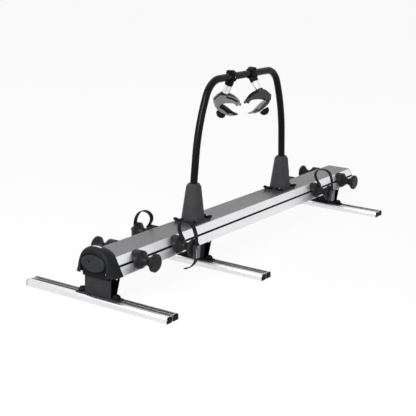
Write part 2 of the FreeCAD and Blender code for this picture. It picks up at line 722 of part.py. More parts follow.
def make_front_hood():
    """Arched shell on the rail's front end with a doorway for the handle."""
    front_x = hood_front_x()
    outer = hood_solid(RAIL_FRONT_X, 0.0, HOOD_BOTTOM_Z)
    inner = hood_solid(RAIL_FRONT_X - HOOD_WALL, HOOD_WALL, HOOD_BOTTOM_Z - CUT_OVER)
    shell = outer.cut(inner)
    open_half = HANDLE_HALF_WIDTH + HANDLE_GAP
    doorway = handle_disc(open_half, HANDLE_HALF_HEIGHT + HANDLE_GAP,
                          CARRIER_FRONT_X, front_x + DOORWAY_DEPTH)
    doorway_foot = block(CARRIER_FRONT_X, front_x + DOORWAY_DEPTH, -open_half, open_half,
                         HOOD_BOTTOM_Z - CUT_OVER, HANDLE_CENTRE_Z)
    shell = shell.cut(doorway).cut(doorway_foot)
    tenon_half = CHANNEL_HALF - SEAT_GAP
    tenon_top = RAIL_TOP_Z - RAIL_WALL - SEAT_GAP
    tenon = block(RAIL_FRONT_X - HOOD_WALL, RAIL_FRONT_X + HOOD_TENON_LENGTH,
                  -tenon_half, tenon_half, tenon_top - HOOD_TENON_HEIGHT, tenon_top)
    shell = joined([shell, tenon])
    bracket_room = BRACKET_HALF_WIDTH + 2 * HANDLE_GAP
    shell = shell.cut(block(CARRIER_FRONT_X, RAIL_FRONT_X, -bracket_room, bracket_room,
                            HOOD_BOTTOM_Z - CUT_OVER, LIP_TOP_Z))
    pin_half = handle_pin_half() + HOLE_GAP
    return shell.cut(rod(HANDLE_PIN_RADIUS + HOLE_GAP, 2 * pin_half,
                         V(handle_pin_x(), -pin_half, HANDLE_PIN_Z), Y_AXIS))


def plate_front_x():
    """Front face of the front bracket."""
    return FLOOR_RAIL_X["front"] + BRACKET_FRONT_X


def latch_bolt_x():
    """Bolt line, just behind the front bracket's plate."""
    return plate_front_x() + BRACKET_PLATE + LATCH_BEHIND_PLATE + LATCH_BOLT_RADIUS


def prong_reach():
    """Distance from the handle's hinge line to the latch bolt's line."""
    return latch_bolt_x() - handle_pin_x()


def make_release_handle():
    """Domed oval paddle with hinge ears and two prongs under the bolt's flange."""
    back_x = CARRIER_FRONT_X + HANDLE_DEPTH
    dome = handle_disc(HANDLE_HALF_WIDTH, HANDLE_HALF_HEIGHT, CARRIER_FRONT_X, back_x)
    front_edge = CARRIER_FRONT_X
    dome = filleted(dome, HANDLE_ROUND,
                    lambda edge: edge.BoundBox.XMax < front_edge + RUNNING_FIT)
    pin_x = handle_pin_x()
    pieces = [dome]
    for side in (-1, 1):
        y0 = side * HANDLE_EAR_Y - HANDLE_EAR_WIDTH / 2
        ear = rod(HANDLE_EAR_RADIUS, HANDLE_EAR_WIDTH, V(pin_x, y0, HANDLE_PIN_Z), Y_AXIS)
        root = block(back_x - CUT_OVER, pin_x, y0, y0 + HANDLE_EAR_WIDTH,
                     HANDLE_PIN_Z - HANDLE_EAR_RADIUS, HANDLE_PIN_Z)
        pieces += [ear, root]
    reach = prong_reach()
    tip_z = HANDLE_PIN_Z
    rise = math.tan(math.radians(HANDLE_OUT_SWING))
    root_x = back_x - CUT_OVER
    tip_x = pin_x + reach + CUT_OVER
    drop = rise * (tip_x - root_x)
    prong_y = LATCH_BOLT_RADIUS + LOOSE_GAP
    prong = prism([V(tip_x, prong_y, tip_z), V(root_x, prong_y, tip_z - drop),
                   V(root_x, prong_y, tip_z - drop - PRONG_DEPTH),
                   V(tip_x, prong_y, tip_z - PRONG_DEPTH)], V(0, PRONG_THICKNESS, 0))
    handle = joined(pieces + [prong, mirrored_y(prong)])
    pin_half = HANDLE_EAR_Y + HANDLE_EAR_WIDTH
    handle = handle.cut(rod(HANDLE_PIN_RADIUS + RUNNING_FIT, 2 * pin_half,
                            V(pin_x, -pin_half, HANDLE_PIN_Z), Y_AXIS))
    return handle.cut(rod(KEYHOLE_RADIUS, KEYHOLE_DEPTH,
                          V(CARRIER_FRONT_X, KEYHOLE_Y, KEYHOLE_Z), X_AXIS))


def make_handle_pin():
    """Hinge pin of the release handle."""
    half = handle_pin_half()
    return rod(HANDLE_PIN_RADIUS, 2 * half, V(handle_pin_x(), -half, HANDLE_PIN_Z), Y_AXIS)


def make_latch_bolt():
    """Round bolt that drops behind the front bracket's plate."""
    x = latch_bolt_x()
    bottom = BRACKET_FRONT_TOP_Z + LATCH_CLEAR_OF_PLATE
    flange_z = HANDLE_PIN_Z + SLIDE_GAP
    top = flange_z + LATCH_FLANGE_THICKNESS + LATCH_STEM_ABOVE_FLANGE
    stem = rod(LATCH_BOLT_RADIUS, top - bottom, V(x, 0, bottom), Z_AXIS)
    flange = rod(LATCH_FLANGE_RADIUS, LATCH_FLANGE_THICKNESS, V(x, 0, flange_z), Z_AXIS)
    return joined([stem, flange])


def housing_front_x():
    """Front face of the latch housing."""
    return plate_front_x() - HOUSING_AHEAD_OF_PLATE - HOUSING_FRONT_LENGTH


def make_latch_housing():
    """Upright plate ahead of the bracket and a shelf that guides the latch bolt."""
    front_x = housing_front_x()
    half = HOUSING_HALF_WIDTH
    upright = block(front_x, front_x + HOUSING_FRONT_LENGTH, -half, half,
                    HOUSING_BOTTOM_Z, HOUSING_TOP_Z)
    shelf = block(front_x, RAIL_FRONT_X - HOOD_WALL, -half, half,
                  HOUSING_SHELF_Z, HOUSING_SHELF_Z + HOUSING_SHELF_THICKNESS)
    housing = joined([upright, shelf])
    bore = LATCH_BOLT_RADIUS + SLIDE_GAP
    housing = housing.cut(rod(bore, HOUSING_SHELF_THICKNESS + 2 * CUT_OVER,
                              V(latch_bolt_x(), 0, HOUSING_SHELF_Z - CUT_OVER), Z_AXIS))
    for side in (-1, 1):
        housing = housing.cut(rod(HOUSING_SCREW_RADIUS, HOUSING_SCREW_LENGTH,
                                  V(front_x, side * HOUSING_SCREW_Y, HOUSING_SCREW_Z), X_AXIS))
    return housing


def make_housing_screws():
    """Two round-headed screws in the latch housing's front."""
    screws = []
    front_x = housing_front_x()
    for side in (-1, 1):
        y = side * HOUSING_SCREW_Y
        head = rod(HOUSING_SCREW_HEAD_RADIUS, HOUSING_SCREW_HEAD,
                   V(front_x - HOUSING_SCREW_HEAD, y, HOUSING_SCREW_Z), X_AXIS)
        shank = rod(HOUSING_SCREW_RADIUS, HOUSING_SCREW_LENGTH,
                    V(front_x, y, HOUSING_SCREW_Z), X_AXIS)
        screws.append(joined([head, shank]))
    return group(screws)


def leg_run(lean, z0, z1):
    """Inward travel of a straight leg between two heights."""
    return (z1 - z0) * math.tan(math.radians(lean))


def hoop_points():
    """Right half of the hoop's centre line as (inset from the leg's foot, z)."""
    lean = math.radians(HOOP_LEAN)
    shoulder = math.radians(HOOP_SHOULDER_LEAN)
    foot = (leg_run(HOOP_LEAN, BASE_TOP_Z, socket_floor_z()), socket_floor_z())
    leg_top = (leg_run(HOOP_LEAN, BASE_TOP_Z, HOOP_LEG_TOP_Z), HOOP_LEG_TOP_Z)

    def on_arc(start, radius, first, angle):
        return (start[0] + radius * (math.cos(first) - math.cos(angle)),
                start[1] + radius * (math.sin(angle) - math.sin(first)))

    middle = on_arc(leg_top, HOOP_LEG_RADIUS, lean, (lean + shoulder) / 2)
    shoulder_point = on_arc(leg_top, HOOP_LEG_RADIUS, lean, shoulder)
    quarter = math.pi / 2
    corner = on_arc(shoulder_point, HOOP_CORNER_RADIUS, shoulder, (shoulder + quarter) / 2)
    bar_end = on_arc(shoulder_point, HOOP_CORNER_RADIUS, shoulder, quarter)
    return foot, leg_top, middle, shoulder_point, corner, bar_end


def socket_floor_z():
    """Height where the hoop's legs end inside their bases."""
    return BASE_TOP_Z - BASE_SOCKET_DEPTH


def bar_z():
    """Height of the hoop's top bar."""
    return hoop_points()[-1][1]


def hoop_point(side, point):
    """Point of the hoop's centre line in the carrier's frame."""
    return V(HOOP_CENTRE_X + side * (HOOP_HALF_SPREAD - point[0]), 0, point[1])


def hoop_wire():
    """Leg, long bend, corner, bar, then the same mirrored."""
    foot, leg_top, middle, shoulder, corner, bar_end = hoop_points()
    edges = []
    for side in (-1, 1):
        place = [hoop_point(side, p) for p in (foot, leg_top, middle, shoulder, corner, bar_end)]
        half = [Part.LineSegment(place[0], place[1]).toShape(),
                Part.Arc(place[1], place[2], place[3]).toShape(),
                Part.Arc(place[3], place[4], place[5]).toShape()]
        edges.append(half)
    bar = Part.LineSegment(hoop_point(-1, bar_end), hoop_point(1, bar_end)).toShape()
    return Part.Wire(edges[0] + [bar] + list(reversed(edges[1])))


def leg_direction(side):
    """Unit vector up a leg."""
    lean = math.radians(HOOP_LEAN)
    return V(-side * math.sin(lean), 0, math.cos(lean))


def make_hoop_tube():
    """Bent tube of one piece."""
    wire = hoop_wire()
    start = hoop_point(-1, hoop_points()[0])
    direction = leg_direction(-1)
    solids = []
    for radius in (HOOP_TUBE_RADIUS, HOOP_TUBE_RADIUS - HOOP_TUBE_WALL):
        ring = Part.Wire([Part.Circle(start, direction, radius).toShape()])
        solids.append(wire.makePipeShell([ring], True, False))
    return solids[0].cut(solids[1])


def stud_places():
    """Studs at the corners of both hoop bases."""
    places = []
    for side in (-1, 1):
        centre = HOOP_CENTRE_X + side * HOOP_HALF_SPREAD
        for along in (-WING_NUT_X, WING_NUT_X):
            for across in (-WING_NUT_Y, WING_NUT_Y):
                places.append((centre + along, across))
    return places


def make_hoop_base(side):
    """Tapered socket on a flange that four wing nuts hold to the rail."""
    centre = HOOP_CENTRE_X + side * HOOP_HALF_SPREAD
    flange_top = RAIL_TOP_Z + BASE_FLANGE_THICKNESS
    flange = block(centre - BASE_FLANGE_LENGTH / 2, centre + BASE_FLANGE_LENGTH / 2,
                   -BASE_FLANGE_WIDTH / 2, BASE_FLANGE_WIDTH / 2, RAIL_TOP_Z, flange_top)
    flange = filleted(flange, BASE_SHOULDER, lambda edge: edge.BoundBox.ZLength > BASE_FLANGE_THICKNESS / 2)

    def square(half, z):
        chamfer = half * BASE_CORNER_SHARE
        corners = [(half, half - chamfer), (half - chamfer, half), (chamfer - half, half),
                   (-half, half - chamfer), (-half, chamfer - half), (chamfer - half, -half),
                   (half - chamfer, -half), (half, chamfer - half)]
        points = [V(centre + x, y, z) for x, y in corners]
        return Part.makePolygon(points + [points[0]])

    bottom_half = BASE_BODY_BOTTOM / 2
    top_half = BASE_BODY_TOP / 2
    shoulder_z = BASE_TOP_Z - BASE_SHOULDER
    sections = [square(bottom_half, flange_top), square(top_half, shoulder_z),
                square(top_half - BASE_SHOULDER / 2, BASE_TOP_Z)]
    body = Part.makeLoft(sections, True, True)
    base = joined([flange, body])
    foot = hoop_point(side, hoop_points()[0])
    socket = rod(HOOP_TUBE_RADIUS + HOLE_GAP, 2 * BASE_SOCKET_DEPTH, foot, leg_direction(side))
    base = base.cut(socket)
    for x, y in stud_places():
        if abs(x - centre) < BASE_FLANGE_LENGTH:
            base = base.cut(rod(STUD_RADIUS + HOLE_GAP, BASE_FLANGE_THICKNESS,
                                V(x, y, RAIL_TOP_Z), Z_AXIS))
    return base


def nut_base_z():
    """Top of the flange, where the wing nuts sit."""
    return RAIL_TOP_Z + BASE_FLANGE_THICKNESS


def make_base_studs():
    """Studs with heads under the rail's top wall and bare tips above the wing nuts."""
    studs = []
    head_top = RAIL_TOP_Z - RAIL_WALL
    half = STUD_HEAD_WIDTH / 2
    tip = nut_base_z() + WING_NUT_HEIGHT + STUD_TIP_ABOVE_NUT
    for x, y in stud_places():
        head = block(x - half, x + half, y - half, y + half,
                     head_top - STUD_HEAD_THICKNESS, head_top)
        shank = rod(STUD_RADIUS, tip - head_top, V(x, y, head_top), Z_AXIS)
        studs.append(joined([head, shank]))
    return group(studs)


def make_wing_nuts():
    """Eight wing nuts on the studs."""
    nuts = []
    base_z = nut_base_z()
    for x, y in stud_places():
        hub = rod(WING_NUT_RADIUS, WING_NUT_HEIGHT, V(x, y, base_z), Z_AXIS)
        pieces = [hub]
        for side in (-1, 1):
            root_x = x + side * WING_NUT_RADIUS / 2
            tip_x = x + side * WING_REACH
            wing_y = y - WING_THICKNESS / 2
            wing = prism([V(root_x, wing_y, base_z + WING_ROOT_LIFT),
                          V(tip_x, wing_y, base_z + WING_TIP_LIFT),
                          V(tip_x, wing_y, base_z + WING_HEIGHT),
                          V(x + side * WING_NUT_RADIUS, wing_y, base_z + WING_NUT_HEIGHT),
                          V(root_x, wing_y, base_z + WING_NUT_HEIGHT)],
                         V(0, WING_THICKNESS, 0))
            pieces.append(wing)
        nut = joined(pieces)
        nuts.append(nut.cut(rod(STUD_RADIUS + HOLE_GAP, WING_HEIGHT + CUT_OVER,
                                V(x, y, base_z - CUT_OVER), Z_AXIS)))
    return group(nuts)


def arm_frame(arm):
    """Frame at the bar's centre: X along the bar, Z up the arm."""
    lean = FreeCAD.Rotation(X_AXIS, ARMS[arm]["lean"])
    return FreeCAD.Placement(V(ARMS[arm]["x"], 0, bar_z()), lean)


def claw_frame(arm):
    """Frame at the arm tube's lower end: X towards the claw's mouth, Z up the arm."""
    swivel = FreeCAD.Placement(V(0, 0, -ARM_LENGTH),
                               FreeCAD.Rotation(Z_AXIS, ARMS[arm]["swivel"]))
    return arm_frame(arm).multiply(swivel)


def placed(shape, frame):
    """Shape moved from its own frame into the carrier's."""
    moved = shape.copy()
    moved.Placement = frame
    return moved


def clamp_block(z0, z1):
    """Bevelled half of a tube clamp, bored for the hoop's bar."""
    half_y = CLAMP_ACROSS / 2
    half_x = CLAMP_LENGTH_X / 2
    top, low = max(z0, z1), min(z0, z1)
    outer = top if top > -low else low
    inner = low if outer == top else top
    bevel = CLAMP_BEVEL if outer > 0 else -CLAMP_BEVEL
    outline = [(-half_y, inner), (half_y, inner), (half_y, outer - bevel),
               (half_y - CLAMP_BEVEL, outer), (-half_y + CLAMP_BEVEL, outer),
               (-half_y, outer - bevel)]
    body = prism_along_x(outline, -half_x, half_x)
    bore = rod(HOOP_TUBE_RADIUS + RUNNING_FIT, CLAMP_LENGTH_X, V(-half_x, 0, 0), X_AXIS)
    return body.cut(bore)


def clamp_screw_holes(radius, z0, z1):
    """Both screw holes as solids to cut."""
    holes = [rod(radius, z1 - z0, V(0, side * CLAMP_SCREW_Y, z0), Z_AXIS)
             for side in (-1, 1)]
    return holes[0].fuse(holes[1])


def make_clamp_cap(arm):
    """Upper half of the tube clamp."""
    cap = clamp_block(CLAMP_SPLIT / 2, CLAMP_ABOVE_BAR)
    cap = cap.cut(clamp_screw_holes(CLAMP_SCREW_RADIUS + HOLE_GAP, 0, CLAMP_ABOVE_BAR))
    cap = cap.cut(clamp_screw_holes(CLAMP_SCREW_HEAD_RADIUS + HOLE_GAP,
                                    CLAMP_SCREW_SEAT, CLAMP_ABOVE_BAR))
    return placed(cap, arm_frame(arm))


def make_clamp_body(arm):
    """Lower half of the tube clamp, with the spigot that fills the arm tube's end."""
    body = clamp_block(-CLAMP_BELOW_BAR, -CLAMP_SPLIT / 2)
    screw_end = CLAMP_SCREW_SEAT - CLAMP_SCREW_LENGTH
    body = body.cut(clamp_screw_holes(CLAMP_SCREW_RADIUS, screw_end, 0))
    spigot = rod(ARM_TUBE_RADIUS - ARM_TUBE_WALL - HOLE_GAP, ARM_SPIGOT_LENGTH,
                 V(0, 0, -CLAMP_BELOW_BAR - ARM_SPIGOT_LENGTH), Z_AXIS)
    return placed(joined([body, spigot]), arm_frame(arm))


def make_clamp_screws(arm):
    """Two screws that draw the clamp's halves together."""
    screws = []
    for side in (-1, 1):
        y = side * CLAMP_SCREW_Y
        head = rod(CLAMP_SCREW_HEAD_RADIUS, CLAMP_SCREW_HEAD, V(0, y, CLAMP_SCREW_SEAT), Z_AXIS)
        shank = rod(CLAMP_SCREW_RADIUS, CLAMP_SCREW_LENGTH,
                    V(0, y, CLAMP_SCREW_SEAT - CLAMP_SCREW_LENGTH), Z_AXIS)
        screws.append(joined([head, shank]))
    return placed(group(screws), arm_frame(arm))


def make_arm_tube(arm):
    """Bright tube between the clamp and the claw."""
    top = -CLAMP_BELOW_BAR
    length = top + ARM_LENGTH + ARM_SOCKET_IN_CLAW
    start = V(0, 0, top - length)
    tube = rod(ARM_TUBE_RADIUS, length, start, Z_AXIS)
    tube = tube.cut(rod(ARM_TUBE_RADIUS - ARM_TUBE_WALL, length, start, Z_AXIS))
    return placed(tube, arm_frame(arm))


def curve_through(points, y):
    """Smooth edge through (u, v) points in a plane across the claw."""
    spline = Part.BSplineCurve()
    spline.interpolate([V(u, y, v) for u, v in points])
    return spline.toShape()


def line_between(first, second, y):
    """Straight edge between two (u, v) points."""
    return Part.LineSegment(V(first[0], y, first[1]), V(second[0], y, second[1])).toShape()


def across_claw(radius, half_width, u=JAW_PIVOT_U, v=JAW_PIVOT_V):
    """Round bar across the claw at the jaw's pivot."""
    return rod(radius, 2 * half_width, V(u, -half_width, v), Y_AXIS)


def ear_radius():
    """Rounded end of the claw's ears beside the jaw's knuckle."""
    return JAW_KNUCKLE_RADIUS + EAR_WALL


def make_claw(arm):
    """Upper hook with a toothed tip and two ears for the jaw."""
    y = -CLAW_THICKNESS / 2
    ear = ear_radius()
    ear_front = (JAW_PIVOT_U + ear, JAW_PIVOT_V)
    ear_low = (JAW_PIVOT_U, JAW_PIVOT_V - ear)
    ear_back = (JAW_PIVOT_U - ear, JAW_PIVOT_V)
    edges = [curve_through([CLAW_BACK] + CLAW_TOP_LINE + [CLAW_TIP_TOP], y),
             line_between(CLAW_TIP_TOP, CLAW_TIP_LOW, y),
             line_between(CLAW_TIP_LOW, CLAW_TOOTH_GAP, y),
             line_between(CLAW_TOOTH_GAP, CLAW_TOOTH, y),
             curve_through([CLAW_TOOTH] + CLAW_UNDERSIDE + [CLAW_ROOT], y),
             line_between(CLAW_ROOT, ear_front, y),
             Part.Arc(V(ear_front[0], y, ear_front[1]), V(ear_low[0], y, ear_low[1]),
                      V(ear_back[0], y, ear_back[1])).toShape(),
             line_between(ear_back, CLAW_BACK, y)]
    claw = Part.Face(Part.Wire(edges)).extrude(V(0, CLAW_THICKNESS, 0))
    collar = rod(CLAW_COLLAR_RADIUS, ARM_SOCKET_IN_CLAW, V(0, 0, -ARM_SOCKET_IN_CLAW), Z_AXIS)
    claw = claw.fuse(collar).removeSplitter()
    claw = claw.cut(rod(ARM_TUBE_RADIUS + RUNNING_FIT, ARM_SOCKET_IN_CLAW * 2,
                        V(0, 0, -ARM_SOCKET_IN_CLAW), Z_AXIS))
    claw = claw.cut(across_claw(ear + KNUCKLE_CLEARANCE, JAW_TONGUE_THICKNESS / 2 + SLIDE_GAP))
    claw = claw.cut(across_claw(JAW_PIN_RADIUS + RUNNING_FIT, CLAW_THICKNESS))
    return placed(claw, claw_frame(arm))


def knob_frame():
    """Frame of the claw's knob: its Z runs down, away from the jaw."""
    turn = FreeCAD.Rotation(Y_AXIS, 180 + CLAW_KNOB_TILT)
    return FreeCAD.Placement(V(CLAW_KNOB_U, 0, CLAW_KNOB_V), turn)


def make_jaw(arm):
    """Lower jaw with a knuckle between the claw's ears and moulded pivot pins."""
    y = -JAW_THICKNESS / 2
    edges = [curve_through([JAW_HEEL] + JAW_LOWER_LINE + [JAW_TIP], y),
             curve_through([JAW_TIP] + JAW_UPPER_LINE + [JAW_ROOT], y),
             line_between(JAW_ROOT, JAW_HEEL, y)]
    jaw = Part.Face(Part.Wire(edges)).extrude(V(0, JAW_THICKNESS, 0))
    tongue_half = JAW_TONGUE_THICKNESS / 2
    ring = across_claw(ear_radius() + LOOSE_GAP, CLAW_THICKNESS)
    ring = ring.cut(across_claw(ear_radius() + CUT_OVER, tongue_half))
    jaw = jaw.cut(ring)
    jaw = joined([jaw, across_claw(JAW_KNUCKLE_RADIUS, tongue_half),
                  across_claw(JAW_PIN_RADIUS, CLAW_THICKNESS / 2)])
    bore = rod(CLAW_SPINDLE_RADIUS + RUNNING_FIT, CLAW_SPINDLE_LENGTH + 2 * CUT_OVER,
               V(0, 0, -CLAW_SPINDLE_LENGTH - CUT_OVER), Z_AXIS)
    seat = rod(CLAW_KNOB_RADIUS, CLAW_KNOB_HEIGHT, V(0, 0, -SEAT_GAP), Z_AXIS)
    jaw = jaw.cut(placed(bore, knob_frame())).cut(placed(seat, knob_frame()))
    return placed(jaw, claw_frame(arm))


def make_claw_knob(arm):
    """Lobed knob on a short spindle under the jaw."""
    knob = lobed_knob(CLAW_KNOB_RADIUS, CLAW_KNOB_HEIGHT, CLAW_KNOB_LOBES, CLAW_KNOB_SCOOP,
                      V(0, 0, 0), Z_AXIS)
    spindle = rod(CLAW_SPINDLE_RADIUS, CLAW_SPINDLE_LENGTH, V(0, 0, -CLAW_SPINDLE_LENGTH),
                  Z_AXIS)
    return placed(joined([knob, spindle]), claw_frame(arm).multiply(knob_frame()))


def spun(edges):
    """Solid of revolution about the holder's axis from edges in the YZ plane."""
    face = Part.Face(Part.Wire(edges))
    return face.revolve(V(0, 0, HOLDER_Z), Y_AXIS, 360)


def radial_line(first, second):
    """Straight profile edge between two (outward, radius) points."""
    return Part.LineSegment(V(0, first[0], HOLDER_Z + first[1]),
                            V(0, second[0], HOLDER_Z + second[1])).toShape()


def radial_curve(points):
    """Smooth profile edge through (outward, radius) points."""
    spline = Part.BSplineCurve()
    spline.interpolate([V(0, out, HOLDER_Z + radius) for out, radius in points])
    return spline.toShape()


def behind_side_plane():
    """Everything on the rail's side of a plane just off its slanted wall."""
    reach = DRUM_RADIUS + KEY_LENGTH
    shift = SEAT_GAP / SIDE_NORMAL_Y
    low, high = HOLDER_Z - reach, HOLDER_Z + reach
    outline = [(0, low), (side_y(low) + shift, low), (side_y(high) + shift, high), (0, high)]
    return prism_along_x(outline, -reach, reach)


def holder_key():
    """T-shaped key that slides in the side groove."""
    gap = SLIDE_GAP
    stem = side_box(GROOVE_OPENING / 2 - gap, -KEY_IN_DRUM, GROOVE_LIP + gap + CUT_OVER)
    foot = side_box(GROOVE_WIDTH / 2 - gap, GROOVE_LIP + gap, GROOVE_LIP + GROOVE_DEPTH - gap)
    half = KEY_LENGTH / 2
    return prism_along_x(stem, -half, half).fuse(prism_along_x(foot, -half, half))


def drum_and_neck(neck_out):
    """Inner half of a wheel holder, from the rail's side to the neck."""
    axis_in = (DRUM_INNER_OUT, 0)
    axis_out = (neck_out, 0)
    back = (DRUM_INNER_OUT, DRUM_RADIUS)
    shoulder = (DRUM_SHOULDER_OUT, DRUM_RADIUS)
    curve = radial_curve([shoulder, ((DRUM_SHOULDER_OUT + neck_out) / 2,
                                     (DRUM_RADIUS + NECK_RADIUS) / 2 - SPOOL_FACE_SAG),
                          (neck_out, NECK_RADIUS)])
    drum = spun([radial_line(axis_in, back), radial_line(back, shoulder), curve,
                 radial_line((neck_out, NECK_RADIUS), axis_out), radial_line(axis_out, axis_in)])
    return joined([drum.cut(behind_side_plane()), holder_key()])


def outer_flange(neck_out):
    """Outer half of a wheel holder: cone and lobed rim."""
    axis_in = (neck_out, 0)
    axis_out = (FLANGE_END_OUT, 0)
    middle = (neck_out + FLANGE_START_OUT) / 2
    curve = radial_curve([(neck_out, NECK_RADIUS),
                          (middle, (NECK_RADIUS + FLANGE_RADIUS) / 2 - SPOOL_FACE_SAG),
                          (FLANGE_START_OUT, FLANGE_RADIUS)])
    rim = (FLANGE_END_OUT - FLANGE_BEVEL, FLANGE_RADIUS)
    face_edge = (FLANGE_END_OUT, FLANGE_RADIUS - FLANGE_BEVEL)
    body = spun([radial_line(axis_in, (neck_out, NECK_RADIUS)), curve,
                 radial_line((FLANGE_START_OUT, FLANGE_RADIUS), rim),
                 radial_line(rim, face_edge), radial_line(face_edge, axis_out),
                 radial_line(axis_out, axis_in)])
    scoop = FLANGE_RADIUS * math.pi / FLANGE_LOBES / 2
    distance = FLANGE_RADIUS + scoop - FLANGE_LOBE_DEPTH
    for index in range(FLANGE_LOBES):
        angle = 2 * math.pi * (index + 0.5) / FLANGE_LOBES
        start = V(distance * math.cos(angle), neck_out, HOLDER_Z + distance * math.sin(angle))
        body = body.cut(rod(scoop, FLANGE_END_OUT, start, Y_AXIS))
    return body


def stud_end_out():
    """Inner end of a plain holder's stud, short of the drum's slanted back."""
    return side_y(HOLDER_Z) + 2 * HOLDER_BOLT_RADIUS


def make_plain_cradle():
    """Drum, neck and key of a plain holder, bored for the knob's stud."""
    cradle = drum_and_neck(NECK_OUT)
    bore = rod(HOLDER_BOLT_RADIUS + RUNNING_FIT, NECK_OUT, V(0, stud_end_out() - CUT_OVER, HOLDER_Z),
               Y_AXIS)
    return cradle.cut(bore)


def make_holder_knob():
    """Outer flange used as a hand knob, with its stud."""
    stud = rod(HOLDER_BOLT_RADIUS, NECK_OUT + CUT_OVER - stud_end_out(),
               V(0, stud_end_out(), HOLDER_Z), Y_AXIS)
    return joined([outer_flange(NECK_OUT + SEAT_GAP), stud])


def lever_pivot_out():
    """Distance of the lever's pivot from the rail's middle."""
    strap_room = 2 * SEAT_GAP + STRAP_THICKNESS
    return BUCKLE_FRAME_OUT + strap_room + SEAT_GAP + LEVER_HALF_DEPTH


def ear_inner_x():
    """Inner face of the buckle's ears, beside the strap."""
    return STRAP_WIDTH / 2 + LOOSE_GAP


def make_strap_cradle():
    """Whole spool with the buckle's frame on its outer end."""
    pivot_out = lever_pivot_out()
    ear_outer = ear_inner_x() + BUCKLE_EAR_THICKNESS
    frame = block(-ear_outer, ear_outer, FLANGE_START_OUT + FLANGE_BEVEL,
                  BUCKLE_FRAME_OUT, BUCKLE_BOTTOM_Z, BUCKLE_TOP_Z)
    pieces = [drum_and_neck(NECK_OUT), outer_flange(NECK_OUT), frame]
    for side in (-1, 1):
        x0 = min(side * ear_inner_x(), side * ear_outer)
        web = block(x0, x0 + BUCKLE_EAR_THICKNESS, BUCKLE_FRAME_OUT - CUT_OVER, pivot_out,
                    LEVER_PIVOT_Z - BUCKLE_EAR_RADIUS, LEVER_PIVOT_Z + BUCKLE_EAR_RADIUS)
        round_end = rod(BUCKLE_EAR_RADIUS, BUCKLE_EAR_THICKNESS, V(x0, pivot_out, LEVER_PIVOT_Z),
                        X_AXIS)
        pieces += [web, round_end]
    cradle = joined(pieces)
    return cradle.cut(rod(LEVER_PIN_RADIUS + RUNNING_FIT, 2 * (ear_outer + CUT_OVER),
                          V(-ear_outer - CUT_OVER, pivot_out, LEVER_PIVOT_Z), X_AXIS))


def make_buckle_lever():
    """Grey ratchet lever with moulded pivot pins."""
    pivot_out = lever_pivot_out()
    inner, outer = pivot_out - LEVER_HALF_DEPTH, pivot_out + LEVER_HALF_DEPTH
    half = STRAP_WIDTH / 2 + SEAT_GAP
    body = block(-half, half, inner, outer, LEVER_BOTTOM_Z, LEVER_PIVOT_Z)
    cap = rod(LEVER_HALF_DEPTH, 2 * half, V(-half, pivot_out, LEVER_PIVOT_Z), X_AXIS)
    pin_half = ear_inner_x() + BUCKLE_EAR_THICKNESS
    pin = rod(LEVER_PIN_RADIUS, 2 * pin_half, V(-pin_half, pivot_out, LEVER_PIVOT_Z), X_AXIS)
    return joined([body, cap, pin])


def band_straight(start, end, thickness, half_width):
    """Straight stretch of a strap in the YZ plane."""
    along = (end - start).normalize()
    across = V(0, -along.z, along.y) * (thickness / 2)
    corners = [start + across, end + across, end - across, start - across]
    return prism([corner - V(half_width, 0, 0) for corner in corners], V(2 * half_width, 0, 0))


def band_bend(start, middle, end, centre, thickness, half_width):
    """Curved stretch of a strap about a centre."""
    edges = []
    ends = []
    for offset in (-thickness / 2, thickness / 2):
        points = []
        for point in (start, middle, end):
            arm = point - centre
            reach = arm.Length + offset
            points.append(centre + arm.normalize() * reach - V(half_width, 0, 0))
        edges.append(Part.Arc(*points).toShape())
        ends.append((points[0], points[2]))
    edges.insert(1, Part.LineSegment(ends[0][1], ends[1][1]).toShape())
    edges.append(Part.LineSegment(ends[1][0], ends[0][0]).toShape())
    face = Part.Face(Part.Wire(Part.__sortEdges__(edges)))
    return face.extrude(V(2 * half_width, 0, 0))


def make_strap(drawn_in, with_tail):
    """Toothed strap band: up over the wheel's rim and down through the buckle."""
    buckle_out = BUCKLE_FRAME_OUT + SEAT_GAP + STRAP_THICKNESS / 2
    loop_top = [(out, z - drawn_in) for out, z in STRAP_LOOP_TOP]
    corners = [STRAP_START, STRAP_INNER_KNEE] + loop_top + [(buckle_out, BUCKLE_TOP_Z)]
    if with_tail:
        corners = corners + [(buckle_out, STRAP_END_Z)] + STRAP_TAIL
    else:
        corners = corners + [(buckle_out, STRAP_END_Z)]
    points = [V(0, out, z) for out, z in corners]
    pieces = []
    run_start = points[0]
    half_width = STRAP_WIDTH / 2
    for before, corner, after in zip(points, points[1:], points[2:]):
        entry = (before - corner).normalize()
        leaving = (after - corner).normalize()
        half_turn = (math.pi - entry.getAngle(leaving)) / 2
        shorter = min((before - corner).Length, (after - corner).Length)
        reach = min(STRAP_CORNER_RADIUS * math.tan(half_turn), STRAP_CORNER_SHARE * shorter)
        radius = reach / math.tan(half_turn)
        start = corner + entry * reach
        end = corner + leaving * reach
        centre = corner + (entry + leaving).normalize() * math.hypot(radius, reach)
        middle = centre + (corner - centre).normalize() * radius
        pieces.append(band_straight(run_start, start, STRAP_THICKNESS, half_width))
        pieces.append(band_bend(start, middle, end, centre, STRAP_THICKNESS, half_width))
        run_start = end
    pieces.append(band_straight(run_start, points[-1], STRAP_THICKNESS, half_width))
    return joined(pieces)


def on_side(shape, x, side):
    """Wheel-holder piece moved along the rail, on its left or right side."""
    moved = shape if side > 0 else mirrored_y(shape)
    moved = moved.copy()
    moved.translate(V(x, 0, 0))
    return moved


def holder_place(place, from_end):
    """X along the rail and side (+1 left, -1 right) of the holder of that name."""
    x = CARRIER_FRONT_X + from_end if place.startswith("front") else CARRIER_REAR_X - from_end
    return x, 1 if place.endswith("left") else -1


